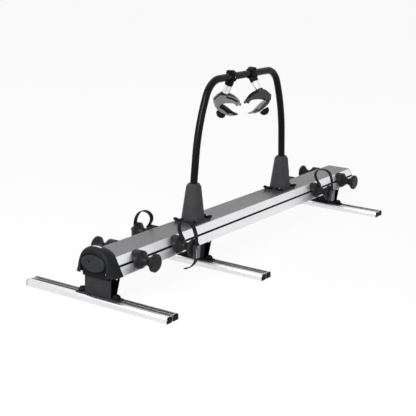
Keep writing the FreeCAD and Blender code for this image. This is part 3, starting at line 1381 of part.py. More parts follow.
def wheel_holder_nodes():
    """Nodes of the eight wheel holders."""
    nodes = {}
    plain_cradle = make_plain_cradle()
    holder_knob = make_holder_knob()
    for place, from_end in PLAIN_FROM_END.items():
        x, side = holder_place(place, from_end)
        nodes["plain_cradle_" + place] = on_side(plain_cradle, x, side)
        nodes["cradle_knob_" + place] = on_side(holder_knob, x, side)
    strap_cradle = make_strap_cradle()
    lever = make_buckle_lever()
    for place, from_end in STRAP_FROM_END.items():
        x, side = holder_place(place, from_end)
        strap = make_strap(STRAP_DRAWN_IN[place], place == LONG_TAIL_STRAP)
        nodes["strap_cradle_" + place] = on_side(strap_cradle, x, side)
        nodes["wheel_strap_" + place] = on_side(strap, x, side)
        nodes["buckle_lever_" + place] = on_side(lever, x, side)
    return nodes


def arm_nodes():
    """Nodes of the two clamp arms."""
    nodes = {}
    for arm in ARMS:
        nodes["clamp_cap_" + arm] = make_clamp_cap(arm)
        nodes["clamp_body_" + arm] = make_clamp_body(arm)
        nodes["clamp_screws_" + arm] = make_clamp_screws(arm)
        nodes["arm_tube_" + arm] = make_arm_tube(arm)
        nodes["claw_" + arm] = make_claw(arm)
        nodes["claw_jaw_" + arm] = make_jaw(arm)
        nodes["claw_knob_" + arm] = make_claw_knob(arm)
    return nodes


def floor_nodes():
    """Nodes that stand on the floor and stay still."""
    floor_rails = group([make_floor_rail(place) for place in FLOOR_RAIL_X])
    nodes = {"floor_rails": floor_rails, "floor_rail_end_plugs": make_end_plugs(),
             "foot_bolts": make_foot_bolts(), "foot_knobs": make_foot_knobs(),
             "roller_axles": make_axles(), "glide_shoes": make_glide_shoes()}
    for place in FLOOR_RAIL_X:
        nodes["bracket_" + place] = make_bracket(place)
        nodes["roller_" + place] = make_roller(place)
    return nodes


def carriage_nodes():
    """Nodes of the sliding rail, its hood and its hoop."""
    return {"main_rail": make_main_rail(), "rear_end_cap": make_rear_end_cap(),
            "travel_stop": make_travel_stop(), "front_hood": make_front_hood(),
            "latch_housing": make_latch_housing(), "housing_screws": make_housing_screws(),
            "release_handle": make_release_handle(), "handle_pin": make_handle_pin(),
            "latch_bolt": make_latch_bolt(), "hoop_tube": make_hoop_tube(),
            "hoop_base_front": make_hoop_base(-1), "hoop_base_rear": make_hoop_base(1),
            "base_studs": make_base_studs(), "base_wing_nuts": make_wing_nuts()}


def main():
    """Write one STEP file for each node."""
    os.makedirs("parts", exist_ok=True)
    nodes = {}
    for some in (floor_nodes(), carriage_nodes(), arm_nodes(), wheel_holder_nodes()):
        nodes.update(some)
    for name, shape in nodes.items():
        shape.exportStep("parts/" + name + ".step")
        print(name, "solids", len(shape.Solids), "valid", shape.isValid(),
              "volume", round(shape.Volume, 1))
    print("nodes", len(nodes), "slide travel", round(slide_travel(), 3))


main()
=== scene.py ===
import json
import math

import bmesh
import bpy
from mathutils import Matrix, Vector


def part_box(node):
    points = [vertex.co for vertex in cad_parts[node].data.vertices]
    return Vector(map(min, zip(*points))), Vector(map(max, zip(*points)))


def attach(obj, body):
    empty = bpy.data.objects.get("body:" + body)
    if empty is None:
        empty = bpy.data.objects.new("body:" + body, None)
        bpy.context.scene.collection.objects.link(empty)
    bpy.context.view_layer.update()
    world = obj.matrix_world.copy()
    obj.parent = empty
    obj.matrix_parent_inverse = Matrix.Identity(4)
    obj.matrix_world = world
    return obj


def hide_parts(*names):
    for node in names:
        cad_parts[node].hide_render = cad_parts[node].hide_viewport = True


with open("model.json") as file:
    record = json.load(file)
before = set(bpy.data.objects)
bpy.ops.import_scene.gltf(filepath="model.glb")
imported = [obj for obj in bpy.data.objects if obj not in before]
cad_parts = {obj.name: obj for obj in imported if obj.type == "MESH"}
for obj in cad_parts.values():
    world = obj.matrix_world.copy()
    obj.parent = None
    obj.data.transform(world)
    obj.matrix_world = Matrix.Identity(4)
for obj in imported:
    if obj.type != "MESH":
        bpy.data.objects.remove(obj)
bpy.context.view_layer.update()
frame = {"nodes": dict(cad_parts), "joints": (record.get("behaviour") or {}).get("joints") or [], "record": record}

NODES = frame["nodes"]
JOINTS = {joint["name"]: joint for joint in frame["joints"]}
BODY_OF = {node: body for body, members in frame["record"]["behaviour"]["bodies"].items()
           for node in members}
HOOD_BODY = BODY_OF["front_hood"]
SLOT_OF = {entry["node"]: entry["material_slot"] for entry in frame["record"]["subparts"]}
PLACES = ("front_right", "front_left", "rear_right", "rear_left")
ARMS = ("front", "rear")
MM = 0.001
ALONG_X = Vector((1, 0, 0))
UPRIGHT = Vector((0, 0, 1))

# Camera: the photograph's place and angle
CAMERA_PLACE = Vector((-3.5752, -2.1732, 1.2601))
CAMERA_AZIMUTH = math.radians(-56.959)
CAMERA_ELEVATION = math.radians(14.821)
CAMERA_ROLL = math.radians(1.740)
CAMERA_LENS = 87.24
CAMERA_SENSOR = 36.0
CAMERA_CLIP = (0.05, 100.0)

# Studio; each lamp has its place, target, size and power
FLOOR_SIZE = 90.0
FLOOR_COLOUR = (0.90, 0.90, 0.905)
FLOOR_GLOW_SHARE = 0.93
WORLD_LEVEL = 0.30
LAMPS = {
    "key": ((-4.4, -0.6, 2.6), (0, 0, 0.2), 2.2, 255.0),
    "fill": ((1.0, -4.0, 2.4), (0, 0, 0.2), 3.0, 5.0),
    "top": ((0.2, 1.6, 3.6), (0, 0, 0.3), 2.6, 22.0),
}

# Finishes: colour, roughness, metallic, specular, mottling's depth and scale, grain's scale and depth
FINISHES = {
    "rail_aluminium": ((0.80, 0.80, 0.82), 0.40, 1, 0.5, 0.03, 6, 1600, 0.0000015),
    "floor_aluminium": ((0.78, 0.785, 0.80), 0.30, 1, 0.5, 0.03, 8, 1600, 0.000004),
    "arm_aluminium": ((0.76, 0.765, 0.78), 0.16, 1, 0.5, 0.02, 20, 1800, 0.000003),
    "bracket_black": ((0.024, 0.024, 0.0255), 0.50, 0, 0.05, 0.15, 20, 1100, 0.00002),
    "hoop_black": ((0.003, 0.003, 0.0033), 0.30, 0, 0.10, 0.10, 20, 700, 0.000006),
    "hood_plastic": ((0.010, 0.0102, 0.0115), 0.48, 0, 0.10, 0.12, 25, 1500, 0.00002),
    "handle_plastic": ((0.018, 0.0185, 0.0205), 0.42, 0, 0.12, 0.10, 25, 1500, 0.00001),
    "base_plastic": ((0.038, 0.0374, 0.0406), 0.42, 0, 0.14, 0.12, 18, 1500, 0.00002),
    "black_plastic": ((0.006, 0.006, 0.0066), 0.46, 0, 0.06, 0.12, 40, 1500, 0.00002),
    "shaded_black": ((0.0012, 0.0012, 0.0013), 0.60, 0, 0.0, 0.12, 40, 1500, 0.00002),
    "claw_grey": ((0.19, 0.188, 0.20), 0.38, 0, 0.35, 0.10, 40, 1500, 0.00001),
    "claw_dark": ((0.022, 0.021, 0.0235), 0.38, 0, 0.32, 0.10, 40, 1500, 0.00001),
    "spool_plastic": ((0.010, 0.0102, 0.0113), 0.40, 0, 0.14, 0.12, 30, 1500, 0.00002),
    "strap_rubber": ((0.008, 0.008, 0.0086), 0.55, 0, 0.10, 0.15, 60, 1800, 0.00003),
    "lever_plastic": ((0.15, 0.15, 0.16), 0.42, 0, 0.35, 0.10, 60, 1500, 0.00001),
    "steel": ((0.60, 0.60, 0.61), 0.26, 1, 0.5, 0.06, 90, 2500, 0.000004),
    "glide_nylon": ((0.52, 0.52, 0.50), 0.50, 0, 0.5, 0.05, 40, 1500, 0.00001),
}
# How a drawn metal's grain is stretched, and how far its roughness spreads
DRAWN_METALS = {
    "rail_aluminium": ((0.02, 1, 1), 0.05),
    "floor_aluminium": ((1, 0.02, 1), 0.05),
    "arm_aluminium": ((1, 1, 0.05), 0.04),
}
USUAL_GRAIN = ((1, 1, 1), 0.06)
MOTTLE_DETAIL = 3.0
GRAIN_DETAIL = 2.0
NOISE_MIDDLE_PART = (0.3, 0.7)
# The main rail's ribbed top, painted darker for the shade between its ribs and its dim reflection: its material,
# its painted-shade colour and the heights between which the painted shade starts
RAIL_MATERIAL = "rail_aluminium"
RAIL_TOP_PAINTED_SHADE = (0.270, 0.270, 0.277)
RAIL_TOP_SHADE_BAND = (0.1739, 0.1741)

# Edges and shading
EDGE_ROUND = {"main_rail": 0.0004, "floor_rails": 0.0005}
USUAL_EDGE_ROUND = 0.0007
EDGE_ANGLE = 35
SHARP_ANGLE = 38
FLAT_ANGLE = 30
TURNED_ANGLE = 40
SOFT_ANGLE = 50
NEARLY_UPRIGHT = 0.9
WELD_DISTANCE = 0.00001
DOUBLES_DISTANCE = 0.000002


def make_camera():
    """Camera at the photograph's angle."""
    azimuth, elevation = CAMERA_AZIMUTH, CAMERA_ELEVATION
    back = Vector((math.sin(azimuth) * math.cos(elevation),
                   -math.cos(azimuth) * math.cos(elevation), math.sin(elevation)))
    right = Vector((math.cos(azimuth), math.sin(azimuth), 0))
    up = back.cross(right)
    rolled_right = right * math.cos(CAMERA_ROLL) + up * math.sin(CAMERA_ROLL)
    rolled_up = up * math.cos(CAMERA_ROLL) - right * math.sin(CAMERA_ROLL)
    data = bpy.data.cameras.new("camera")
    data.lens = CAMERA_LENS
    data.sensor_width = CAMERA_SENSOR
    data.clip_start, data.clip_end = CAMERA_CLIP
    camera = bpy.data.objects.new("camera", data)
    turn = Matrix((rolled_right, rolled_up, back)).transposed()
    camera.matrix_world = Matrix.Translation(CAMERA_PLACE) @ turn.to_4x4()
    bpy.context.scene.collection.objects.link(camera)
    bpy.context.scene.camera = camera


def area_light(name, place, target, size, power):
    """Soft square lamp aimed at a point."""
    data = bpy.data.lights.new(name, "AREA")
    data.shape = "SQUARE"
    data.size = size
    data.energy = power
    lamp = bpy.data.objects.new(name, data)
    lamp.location = place
    aim = Vector(target) - Vector(place)
    lamp.rotation_euler = aim.to_track_quat("-Z", "Y").to_euler()
    bpy.context.scene.collection.objects.link(lamp)


def link(tree, source, target):
    """Join two node sockets."""
    tree.links.new(source, target)


def combined(tree, operation, first, second):
    """Result of one operation on two values, each a socket or a number."""
    node = tree.nodes.new("ShaderNodeMath")
    node.operation = operation
    for value, socket in zip((first, second), node.inputs):
        if isinstance(value, float):
            socket.default_value = value
        else:
            link(tree, value, socket)
    return node.outputs[0]


def pale_backdrop_ray(tree):
    """1 for rays from the camera or off gloss and glass, else 0."""
    rays = tree.nodes.new("ShaderNodeLightPath").outputs
    seen = combined(tree, "MAXIMUM", rays["Is Camera Ray"], rays["Is Glossy Ray"])
    return combined(tree, "MAXIMUM", seen, rays["Is Transmission Ray"])


def mix_shaders(tree, share, plain, seen, output_type):
    """Send a mix of two shaders, by a share of the second, to the tree's output."""
    mix = tree.nodes.new("ShaderNodeMixShader")
    for socket, source in zip(mix.inputs, (share, plain, seen)):
        link(tree, source, socket)
    output = tree.nodes.new(output_type)
    link(tree, mix.outputs[0], output.inputs["Surface"])


def background(tree, strength):
    """White world light of one strength."""
    node = tree.nodes.new("ShaderNodeBackground")
    node.inputs["Color"].default_value = (1, 1, 1, 1)
    node.inputs["Strength"].default_value = strength
    return node.outputs[0]


def make_world():
    """White to the eye and to gloss, a plain soft level elsewhere."""
    world = bpy.data.worlds.new("studio")
    world.use_nodes = True
    tree = world.node_tree
    tree.nodes.clear()
    mix_shaders(tree, pale_backdrop_ray(tree), background(tree, WORLD_LEVEL),
                background(tree, 1.0), "ShaderNodeOutputWorld")
    bpy.context.scene.world = world


def make_floor():
    """Plain pale floor that keeps the object's soft shadow."""
    mesh = bpy.data.meshes.new("floor")
    half = FLOOR_SIZE / 2
    mesh.from_pydata([(-half, -half, 0), (half, -half, 0), (half, half, 0), (-half, half, 0)],
                     [], [(0, 1, 2, 3)])
    floor = bpy.data.objects.new("floor", mesh)
    bpy.context.scene.collection.objects.link(floor)
    material = bpy.data.materials.new("floor")
    material.use_nodes = True
    tree = material.node_tree
    tree.nodes.clear()
    matt = tree.nodes.new("ShaderNodeBsdfDiffuse")
    matt.inputs["Color"].default_value = (*FLOOR_COLOUR, 1)
    glow = tree.nodes.new("ShaderNodeEmission")
    glow.inputs["Strength"].default_value = 1.0
    share = combined(tree, "MULTIPLY", pale_backdrop_ray(tree), FLOOR_GLOW_SHARE)
    mix_shaders(tree, share, matt.outputs[0], glow.outputs[0], "ShaderNodeOutputMaterial")
    floor.data.materials.append(material)


def make_studio():
    """World, floor and soft lamps."""
    make_world()
    make_floor()
    for name, lamp in LAMPS.items():
        area_light(name, *lamp)
    bpy.context.scene.view_settings.view_transform = "Standard"


def noise_value(tree, coordinates, scale, stretch, detail):
    """Noise from 0 to 1 in the object's own frame, in features per metre."""
    mapping = tree.nodes.new("ShaderNodeMapping")
    mapping.inputs["Scale"].default_value = stretch
    link(tree, coordinates, mapping.inputs["Vector"])
    noise = tree.nodes.new("ShaderNodeTexNoise")
    noise.inputs["Scale"].default_value = scale
    noise.inputs["Detail"].default_value = detail
    link(tree, mapping.outputs[0], noise.inputs["Vector"])
    return noise.outputs["Fac"]


def ranged(tree, value, source, low=0.0, high=1.0):
    """Value spread from a source range to the range between two numbers."""
    spread = tree.nodes.new("ShaderNodeMapRange")
    ends = {"From Min": source[0], "From Max": source[1], "To Min": low, "To Max": high}
    for socket, end in ends.items():
        spread.inputs[socket].default_value = end
    link(tree, value, spread.inputs["Value"])
    return spread.outputs["Result"]


def blended(tree, share, first, second):
    """Colour between two, each a socket or plain red, green and blue."""
    blend = tree.nodes.new("ShaderNodeMix")
    blend.data_type = "RGBA"
    for socket, colour in (("A", first), ("B", second)):
        if isinstance(colour, tuple):
            blend.inputs[socket].default_value = (*colour, 1)
        else:
            link(tree, colour, blend.inputs[socket])
    link(tree, share, blend.inputs["Factor"])
    return blend.outputs["Result"]


def finish_material(name, colour, roughness, metallic, specular, mottle, mottle_scale,
                    grain_scale, grain_depth):
    """Procedural surface: mottled colour, uneven gloss and a fine grain; on the main rail, a darker top of painted
    shade.
    """
    material = bpy.data.materials.new(name)
    material.use_nodes = True
    tree = material.node_tree
    shader = tree.nodes["Principled BSDF"]
    shader.inputs["Metallic"].default_value = metallic
    shader.inputs["Specular IOR Level"].default_value = specular
    stretch, roughness_spread = DRAWN_METALS.get(name, USUAL_GRAIN)
    place = tree.nodes.new("ShaderNodeTexCoord").outputs["Object"]
    patches = noise_value(tree, place, mottle_scale, (1, 1, 1), MOTTLE_DETAIL)
    dark = tuple(part * (1 - mottle) for part in colour)
    pale = tuple(min(1.0, part * (1 + mottle)) for part in colour)
    base = blended(tree, ranged(tree, patches, NOISE_MIDDLE_PART), dark, pale)
    # Painted shade: the main rail's top is blended to a darker grey above a height band
    if name == RAIL_MATERIAL:
        axes = tree.nodes.new("ShaderNodeSeparateXYZ")
        link(tree, place, axes.inputs[0])
        shaded_top = ranged(tree, axes.outputs["Z"], RAIL_TOP_SHADE_BAND)
        base = blended(tree, shaded_top, base, RAIL_TOP_PAINTED_SHADE)
    link(tree, base, shader.inputs["Base Color"])
    grain = noise_value(tree, place, grain_scale, stretch, GRAIN_DETAIL)
    gloss = ranged(tree, grain, NOISE_MIDDLE_PART, roughness - roughness_spread,
                   roughness + roughness_spread)
    link(tree, gloss, shader.inputs["Roughness"])
    bump = tree.nodes.new("ShaderNodeBump")
    bump.inputs["Strength"].default_value = 1.0
    bump.inputs["Distance"].default_value = grain_depth
    link(tree, grain, bump.inputs["Height"])
    link(tree, bump.outputs[0], shader.inputs["Normal"])
    return material


MATERIALS = {name: finish_material(name, *finish) for name, finish in FINISHES.items()}


def add_bevel(piece, width, segments=2, angle=EDGE_ANGLE):
    """Round the piece's hard edges."""
    bevel = piece.modifiers.new("edges", "BEVEL")
    bevel.width = width
    bevel.segments = segments
    bevel.limit_method = "ANGLE"
    bevel.angle_limit = math.radians(angle)
    bevel.harden_normals = True


def dress_node(name):
    """Give a CAD node its material and softly rounded edges."""
    node = NODES[name]
    node.data.materials.clear()
    node.data.materials.append(MATERIALS[SLOT_OF[name]])
    weld = node.modifiers.new("weld", "WELD")
    weld.merge_threshold = WELD_DISTANCE
    add_bevel(node, EDGE_ROUND.get(name, USUAL_EDGE_ROUND))


def shade_smooth(mesh, sharp_angle):
    """Smooth shading that keeps edges sharper than an angle."""
    for polygon in mesh.polygons:
        polygon.use_smooth = True
    mesh.set_sharp_from_angle(angle=math.radians(sharp_angle))


def new_object(name, bm, slot, body, sharp_angle=SHARP_ANGLE):
    """Finish a bmesh as a smooth-shaded piece that rides on a body."""
    bmesh.ops.remove_doubles(bm, verts=bm.verts, dist=DOUBLES_DISTANCE)
    bmesh.ops.recalc_face_normals(bm, faces=bm.faces)
    mesh = bpy.data.meshes.new(name)
    bm.to_mesh(mesh)
    bm.free()
    shade_smooth(mesh, sharp_angle)
    piece = bpy.data.objects.new(name, mesh)
    bpy.context.scene.collection.objects.link(piece)
    mesh.materials.append(MATERIALS[slot])
    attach(piece, body)
    return piece


def apply_modifiers(piece):
    """Make the modifiers' result the piece's own mesh."""
    graph = bpy.context.evaluated_depsgraph_get()
    made = bpy.data.meshes.new_from_object(piece.evaluated_get(graph))
    piece.modifiers.clear()
    piece.data = made


def cut_away(piece, cutter_bm):
    """Take a closed shape out of a piece."""
    cutter_mesh = bpy.data.meshes.new("cutter")
    bmesh.ops.recalc_face_normals(cutter_bm, faces=cutter_bm.faces)
    cutter_bm.to_mesh(cutter_mesh)
    cutter_bm.free()
    cutter = bpy.data.objects.new("cutter", cutter_mesh)
    bpy.context.scene.collection.objects.link(cutter)
    boolean = piece.modifiers.new("cut", "BOOLEAN")
    boolean.object = cutter
    boolean.operation = "DIFFERENCE"
    boolean.solver = "EXACT"
    apply_modifiers(piece)
    bpy.data.objects.remove(cutter)
    shade_smooth(piece.data, SHARP_ANGLE)


def add_loft(bm, rings, closed_ring=True, capped=True):
    """Skin between rings with the same number of points."""
    rows = [[bm.verts.new(point) for point in ring] for ring in rings]
    count = len(rows[0])
    steps = count if closed_ring else count - 1
    for first, second in zip(rows, rows[1:]):
        for index in range(steps):
            after = (index + 1) % count
            bm.faces.new((first[index], first[after], second[after], second[index]))
    if capped:
        bm.faces.new(list(reversed(rows[0])))
        bm.faces.new(rows[-1])


def add_prism(bm, outline, travel):
    """Closed outline pushed along a vector."""
    add_loft(bm, [outline, [point + travel for point in outline]])


def add_box(bm, low, high):
    """Box between two corners."""
    x0, y0, z0 = low
    x1, y1, z1 = high
    outline = [Vector((x, y, z0)) for x, y in ((x0, y0), (x1, y0), (x1, y1), (x0, y1))]
    add_prism(bm, outline, Vector((0, 0, z1 - z0)))


def square_axes(axis):
    """Two unit vectors square to an axis and to each other."""
    helper = UPRIGHT if abs(axis.z) < NEARLY_UPRIGHT else ALONG_X
    across = axis.cross(helper).normalized()
    return across, axis.cross(across).normalized()


def add_lathe(bm, base, axis, profile, count=48, radius_at=None):
    """Turned shape from (along, radius) in millimetres; radius_at may vary it round the axis."""
    across, upward = square_axes(axis)
    rings = []
    for along, radius in profile:
        ring = []
        for index in range(count):
            angle = 2 * math.pi * index / count
            reach = radius * MM * (radius_at(angle) if radius_at else 1.0)
            ring.append(base + axis * (along * MM) + across * (reach * math.cos(angle))
                        + upward * (reach * math.sin(angle)))
        rings.append(ring)
    add_loft(bm, rings)


def scooped(count, depth, sharpness):
    """How a knob's radius varies round its axis: finger scoops of one depth."""
    def share(angle):
        return 1 - depth * (0.5 - 0.5 * math.cos(count * angle)) ** sharpness
    return share


def smooth_points(points, steps):
    """Catmull-Rom curve through points, in any dimension."""
    before_first = points[0] * 2 - points[1]
    after_last = points[-1] * 2 - points[-2]
    padded = [before_first, *points, after_last]
    made = []
    for a, b, c, d in zip(padded, padded[1:], padded[2:], padded[3:]):
        for step in range(steps):
            t = step / steps
            made.append(0.5 * (2 * b + (c - a) * t + (2 * a - 5 * b + 4 * c - d) * t ** 2
                               + (3 * b - a - 3 * c + d) * t ** 3))
    made.append(points[-1].copy())
    return made


# Front hood: half outlines (y, z) from the lower edge to the crown, at places along it
HOOD_SECTIONS = [
    (0.000, [(94.4, 109.5), (85.0, 127), (76.0, 143), (67.5, 158), (60.5, 171), (53.5, 182),
             (41.0, 192), (22.0, 199), (0, 201.5)]),
    (-0.014, [(94.8, 109.5), (86.0, 127), (78.0, 143), (70.5, 159), (64.0, 174), (55.5, 187),
              (42.0, 198), (23.0, 205.5), (0, 208)]),
    (-0.028, [(93.5, 109.5), (85.5, 125), (79.0, 142), (72.5, 159), (65.5, 176), (56.0, 190),
              (42.0, 201.5), (23.0, 208.5), (0, 211)]),
    (-0.040, [(88.0, 109.5), (82.0, 124), (77.0, 142), (71.5, 159), (64.5, 177), (54.0, 191),
              (40.0, 202), (22.0, 208.5), (0, 210.5)]),
    (-0.049, [(79.0, 109.5), (75.0, 123), (72.5, 141), (67.5, 159), (60.5, 177), (50.0, 191),
              (36.5, 200.5), (19.0, 206), (0, 208)]),
    (-0.0535, [(72.0, 109.5), (69.5, 122), (67.5, 140), (63.0, 158), (56.5, 174), (46.5, 187),
               (33.0, 195.5), (17.0, 200.5), (0, 202)]),
    (-0.055, [(63.0, 109.5), (62.5, 121), (61.0, 139), (57.5, 156), (51.5, 170), (41.5, 182),
              (29.0, 190), (15.0, 194), (0, 195.5)]),
]
HOOD_WALL = 0.003
HOOD_EDGE = 0.0009
HOOD_CAP_SHARES = (0.85, 0.6, 0.3)
HOOD_STEPS = 3
HOOD_CROWN_FROM_Z = 0.18
# The doorway follows the handle: its gap, foot height, depth and steps round its arch
DOOR_GAP = 0.0040
DOOR_FOOT_Z = 0.1
DOOR_DEPTH = 0.03
DOOR_STEPS = 32
# The plain strip: its place along the hood, width, depth, thickness, stations and edge
STRIP_SHIFT = -0.0330
STRIP_WIDTH = 0.040
STRIP_HALF_DEPTH = 0.00425
STRIP_THICKNESS = 0.0006
STRIP_STATIONS = 12
STRIP_EDGE = 0.0002
# The hidden tenon: how far before the rail it starts, its drop below the rail's top, its height
TENON_START = 0.003
TENON_DROP = 0.0035
TENON_HEIGHT = 0.036
TENON_EDGE = 0.001
# The handle's face: how it is skinned over the solid, then its rings' (share, height)
HANDLE_SKIN = 0.0002
HANDLE_DEPTH = 0.013
HANDLE_STEPS = 96
HANDLE_RINGS = [(1.0, 0.0), (0.995, 0.30), (0.975, 0.62), (0.94, 0.84), (0.91, 0.94),
                (0.875, 1.0), (0.85, 1.0), (0.83, 0.93), (0.8, 0.90), (0.65, 0.925),
                (0.45, 0.95), (0.25, 0.962), (0.1, 0.967)]
# Keyhole (y, z), then (along, radius) from the face's front in millimetres
KEYHOLE = (0.014, 0.159)
KEYHOLE_CUT = [(-2.0, 5.6), (7.5, 5.6)]
KEYHOLE_RING = [(0.5, 5.6), (0.5, 6.4), (1.7, 6.6), (1.7, 5.6)]
LOCK_CORE = [(6.6, 5.0), (7.8, 5.3)]
LOCK_SLOT_LOW = Vector((0.0050, -0.0011, -0.0036))
LOCK_SLOT_HIGH = Vector((0.0070, 0.0011, 0.0036))
# The hood screw's (y, z), then (out of the panel, radius) in millimetres
HOOD_SCREW = (-0.0487, 0.1177)
HOOD_SCREW_PROFILE = [(-1.0, 3.2), (0.8, 3.2), (1.7, 2.6), (2.1, 1.3)]


def hood_ring(shift_x, half):
    """Both halves of one hood section, from the right foot over the crown to the left."""
    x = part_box("main_rail")[0].x + shift_x
    right = [Vector((x, -y * MM, z * MM)) for y, z in half]
    left = [Vector((x, y * MM, z * MM)) for y, z in reversed(half[:-1])]
    return smooth_points(right + left, HOOD_STEPS)


def hood_skin_rings():
    """Sections of the hood's skin, smoothed along its length."""
    rings = [hood_ring(shift, half) for shift, half in HOOD_SECTIONS]
    columns = [smooth_points(list(column), HOOD_STEPS) for column in zip(*rings)]
    return [list(ring) for ring in zip(*columns)]


def handle_shape():
    """Middle height, half-width and half-height of the oval handle."""
    low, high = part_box("release_handle")
    return (low.z + high.z) / 2, (high.y - low.y) / 2, (high.z - low.z) / 2


def make_hood():
    """Bulged front hood with its doorway and a plain pale strip on its crown."""
    rings = hood_skin_rings()
    front = rings[-1]
    handle_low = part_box("release_handle")[0]
    centre = Vector((front[0].x, 0, handle_low.z))
    for share in HOOD_CAP_SHARES:
        rings.append([centre + (point - centre) * share for point in front])
    bm = bmesh.new()
    add_loft(bm, rings, closed_ring=False, capped=False)
    hood = new_object("hood_shell", bm, "hood_plastic", HOOD_BODY)
    wall = hood.modifiers.new("wall", "SOLIDIFY")
    wall.thickness = HOOD_WALL
    wall.offset = -1
    apply_modifiers(hood)
    middle_z, half_width, half_height = handle_shape()
    open_half = half_width + DOOR_GAP
    outline = [Vector((handle_low.x, -open_half, DOOR_FOOT_Z)),
               Vector((handle_low.x, open_half, DOOR_FOOT_Z))]
    for step in range(DOOR_STEPS + 1):
        angle = math.pi * step / DOOR_STEPS
        outline.append(Vector((handle_low.x, open_half * math.cos(angle),
                               middle_z + (half_height + DOOR_GAP) * math.sin(angle))))
    cutter = bmesh.new()
    add_prism(cutter, outline, Vector((DOOR_DEPTH, 0, 0)))
    cut_away(hood, cutter)
    add_bevel(hood, HOOD_EDGE)
    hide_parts("front_hood")
    make_hood_strip()
    make_hood_tenon()


def make_hood_strip():
    """Plain pale strip that follows the crown."""
    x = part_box("main_rail")[0].x + STRIP_SHIFT
    corners = ((-STRIP_HALF_DEPTH, 0.0), (-STRIP_HALF_DEPTH, STRIP_THICKNESS),
               (STRIP_HALF_DEPTH, STRIP_THICKNESS), (STRIP_HALF_DEPTH, 0.0))
    rings = []
    for index in range(STRIP_STATIONS + 1):
        y = STRIP_WIDTH * (index / STRIP_STATIONS - 0.5)
        rings.append([Vector((x + dx, y, hood_skin_z(x + dx, y) + lift)) for dx, lift in corners])
    bm = bmesh.new()
    add_loft(bm, rings)
    strip = new_object("hood_plain_strip", bm, "arm_aluminium", HOOD_BODY, FLAT_ANGLE)
    add_bevel(strip, STRIP_EDGE)


def height_between(pairs, place):
    """Height at a place, straight between sorted (place, height) pairs."""
    for (start, low), (end, high) in zip(pairs, pairs[1:]):
        if start <= place <= end:
            return low + (high - low) * (place - start) / (end - start)
    return pairs[-1][1]


def hood_skin_z(x, y):
    """Height of the hood's skin at (x, y), between its smoothed sections."""
    heights = []
    for ring in hood_skin_rings():
        crown = sorted((point.y, point.z) for point in ring if point.z > HOOD_CROWN_FROM_Z)
        heights.append((ring[0].x, height_between(crown, y)))
    return height_between(sorted(heights), x)


def make_hood_tenon():
    """Hidden block that plugs the hood into the rail's channel."""
    rail_low, rail_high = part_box("main_rail")
    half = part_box("glide_shoes")[1].y
    top = rail_high.z - TENON_DROP
    bm = bmesh.new()
    add_box(bm, (rail_low.x - TENON_START, -half, top - TENON_HEIGHT),
            (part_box("front_hood")[1].x, half, top))
    tenon = new_object("hood_tenon", bm, "hood_plastic", HOOD_BODY)
    add_bevel(tenon, TENON_EDGE)


def make_handle_face():
    """Domed oval face with a raised rim round it, a dark keyhole and a lock behind it."""
    middle_z, half_width, half_height = handle_shape()
    front_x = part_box("release_handle")[0].x
    grow = HANDLE_SKIN / half_height
    rings = []
    for share, height in HANDLE_RINGS:
        x = front_x + HANDLE_DEPTH - (HANDLE_DEPTH + HANDLE_SKIN) * height
        ring = []
        for index in range(HANDLE_STEPS):
            angle = 2 * math.pi * index / HANDLE_STEPS
            ring.append(Vector((x, half_width * (share + grow) * math.cos(angle),
                                middle_z + half_height * (share + grow) * math.sin(angle))))
        rings.append(ring)
    bm = bmesh.new()
    add_loft(bm, rings)
    face = new_object("handle_face", bm, "handle_plastic", "handle", FLAT_ANGLE)
    keyhole = Vector((front_x, *KEYHOLE))
    cutter = bmesh.new()
    add_lathe(cutter, keyhole, ALONG_X, KEYHOLE_CUT, count=32)
    cut_away(face, cutter)
    bm = bmesh.new()
    add_lathe(bm, keyhole, ALONG_X, KEYHOLE_RING, count=32)
    new_object("keyhole_ring", bm, "black_plastic", "handle", FLAT_ANGLE)
    bm = bmesh.new()
    add_lathe(bm, keyhole, ALONG_X, LOCK_CORE, count=32)
    core = new_object("lock_core", bm, "black_plastic", "handle", FLAT_ANGLE)
    cutter = bmesh.new()
    add_box(cutter, keyhole + LOCK_SLOT_LOW, keyhole + LOCK_SLOT_HIGH)
    cut_away(core, cutter)


def make_hood_screw():
    """Small pan-head screw in the hood's inner panel, below the handle's corner."""
    bm = bmesh.new()
    place = Vector((HOOD_PANEL_X[0], *HOOD_SCREW))
    add_lathe(bm, place, -ALONG_X, HOOD_SCREW_PROFILE, count=24)
    new_object("hood_screw", bm, "steel", HOOD_BODY, TURNED_ANGLE)


# Dark strips of painted shade in the rail's side grooves, in millimetres: the side's slope, its holders'
# height, the strips' two depths, half height and how far they stop from the rail's ends
SIDE_LINE = ((58.0, 175.0), (94.0, 111.0))
HOLDER_LINE_Z = 143.0
GROOVE_SHADE_DEPTHS = (10.8, 10.98)
GROOVE_SHADE_HALF = 8.3
GROOVE_SHADE_END = 1.0
# Inner wall of the hood beside and below its doorway: (y, z) outline of one half
HOOD_PANEL = [(0.0, 97.0), (57.0, 97.0), (60.0, 111.0), (84.5, 111.0), (79.0, 124.0),
              (73.5, 142.0), (68.0, 159.0), (61.0, 172.0), (56.0, 172.0), (55.5, 153.0),
              (53.2, 140.0), (43.8, 131.0), (31.5, 124.3), (18.0, 120.0), (0.0, 118.5)]
HOOD_PANEL_X = (-0.9515, -0.9500)
# Plate across the hood's rear, between the latch housing and the rail
HOOD_BACK = [(0.0, 122.0), (79.0, 122.0), (77.0, 130.0), (71.0, 143.0), (63.0, 158.0),
             (56.5, 170.0), (0.0, 170.0)]
HOOD_BACK_X = (-0.9126, -0.9112)
# Dark bands of painted shade on the floor rails' ridge tops: near and far x from a rail's middle,
# then how they lie on the ridge and how far they stop from its ends
FLOOR_SHADE_BANDS = ((-13.0, -4.4), (4.4, 21.0))
FLOOR_SHADE_SUNK = 0.02
FLOOR_SHADE_THICKNESS = 0.12
FLOOR_SHADE_END = 3.4
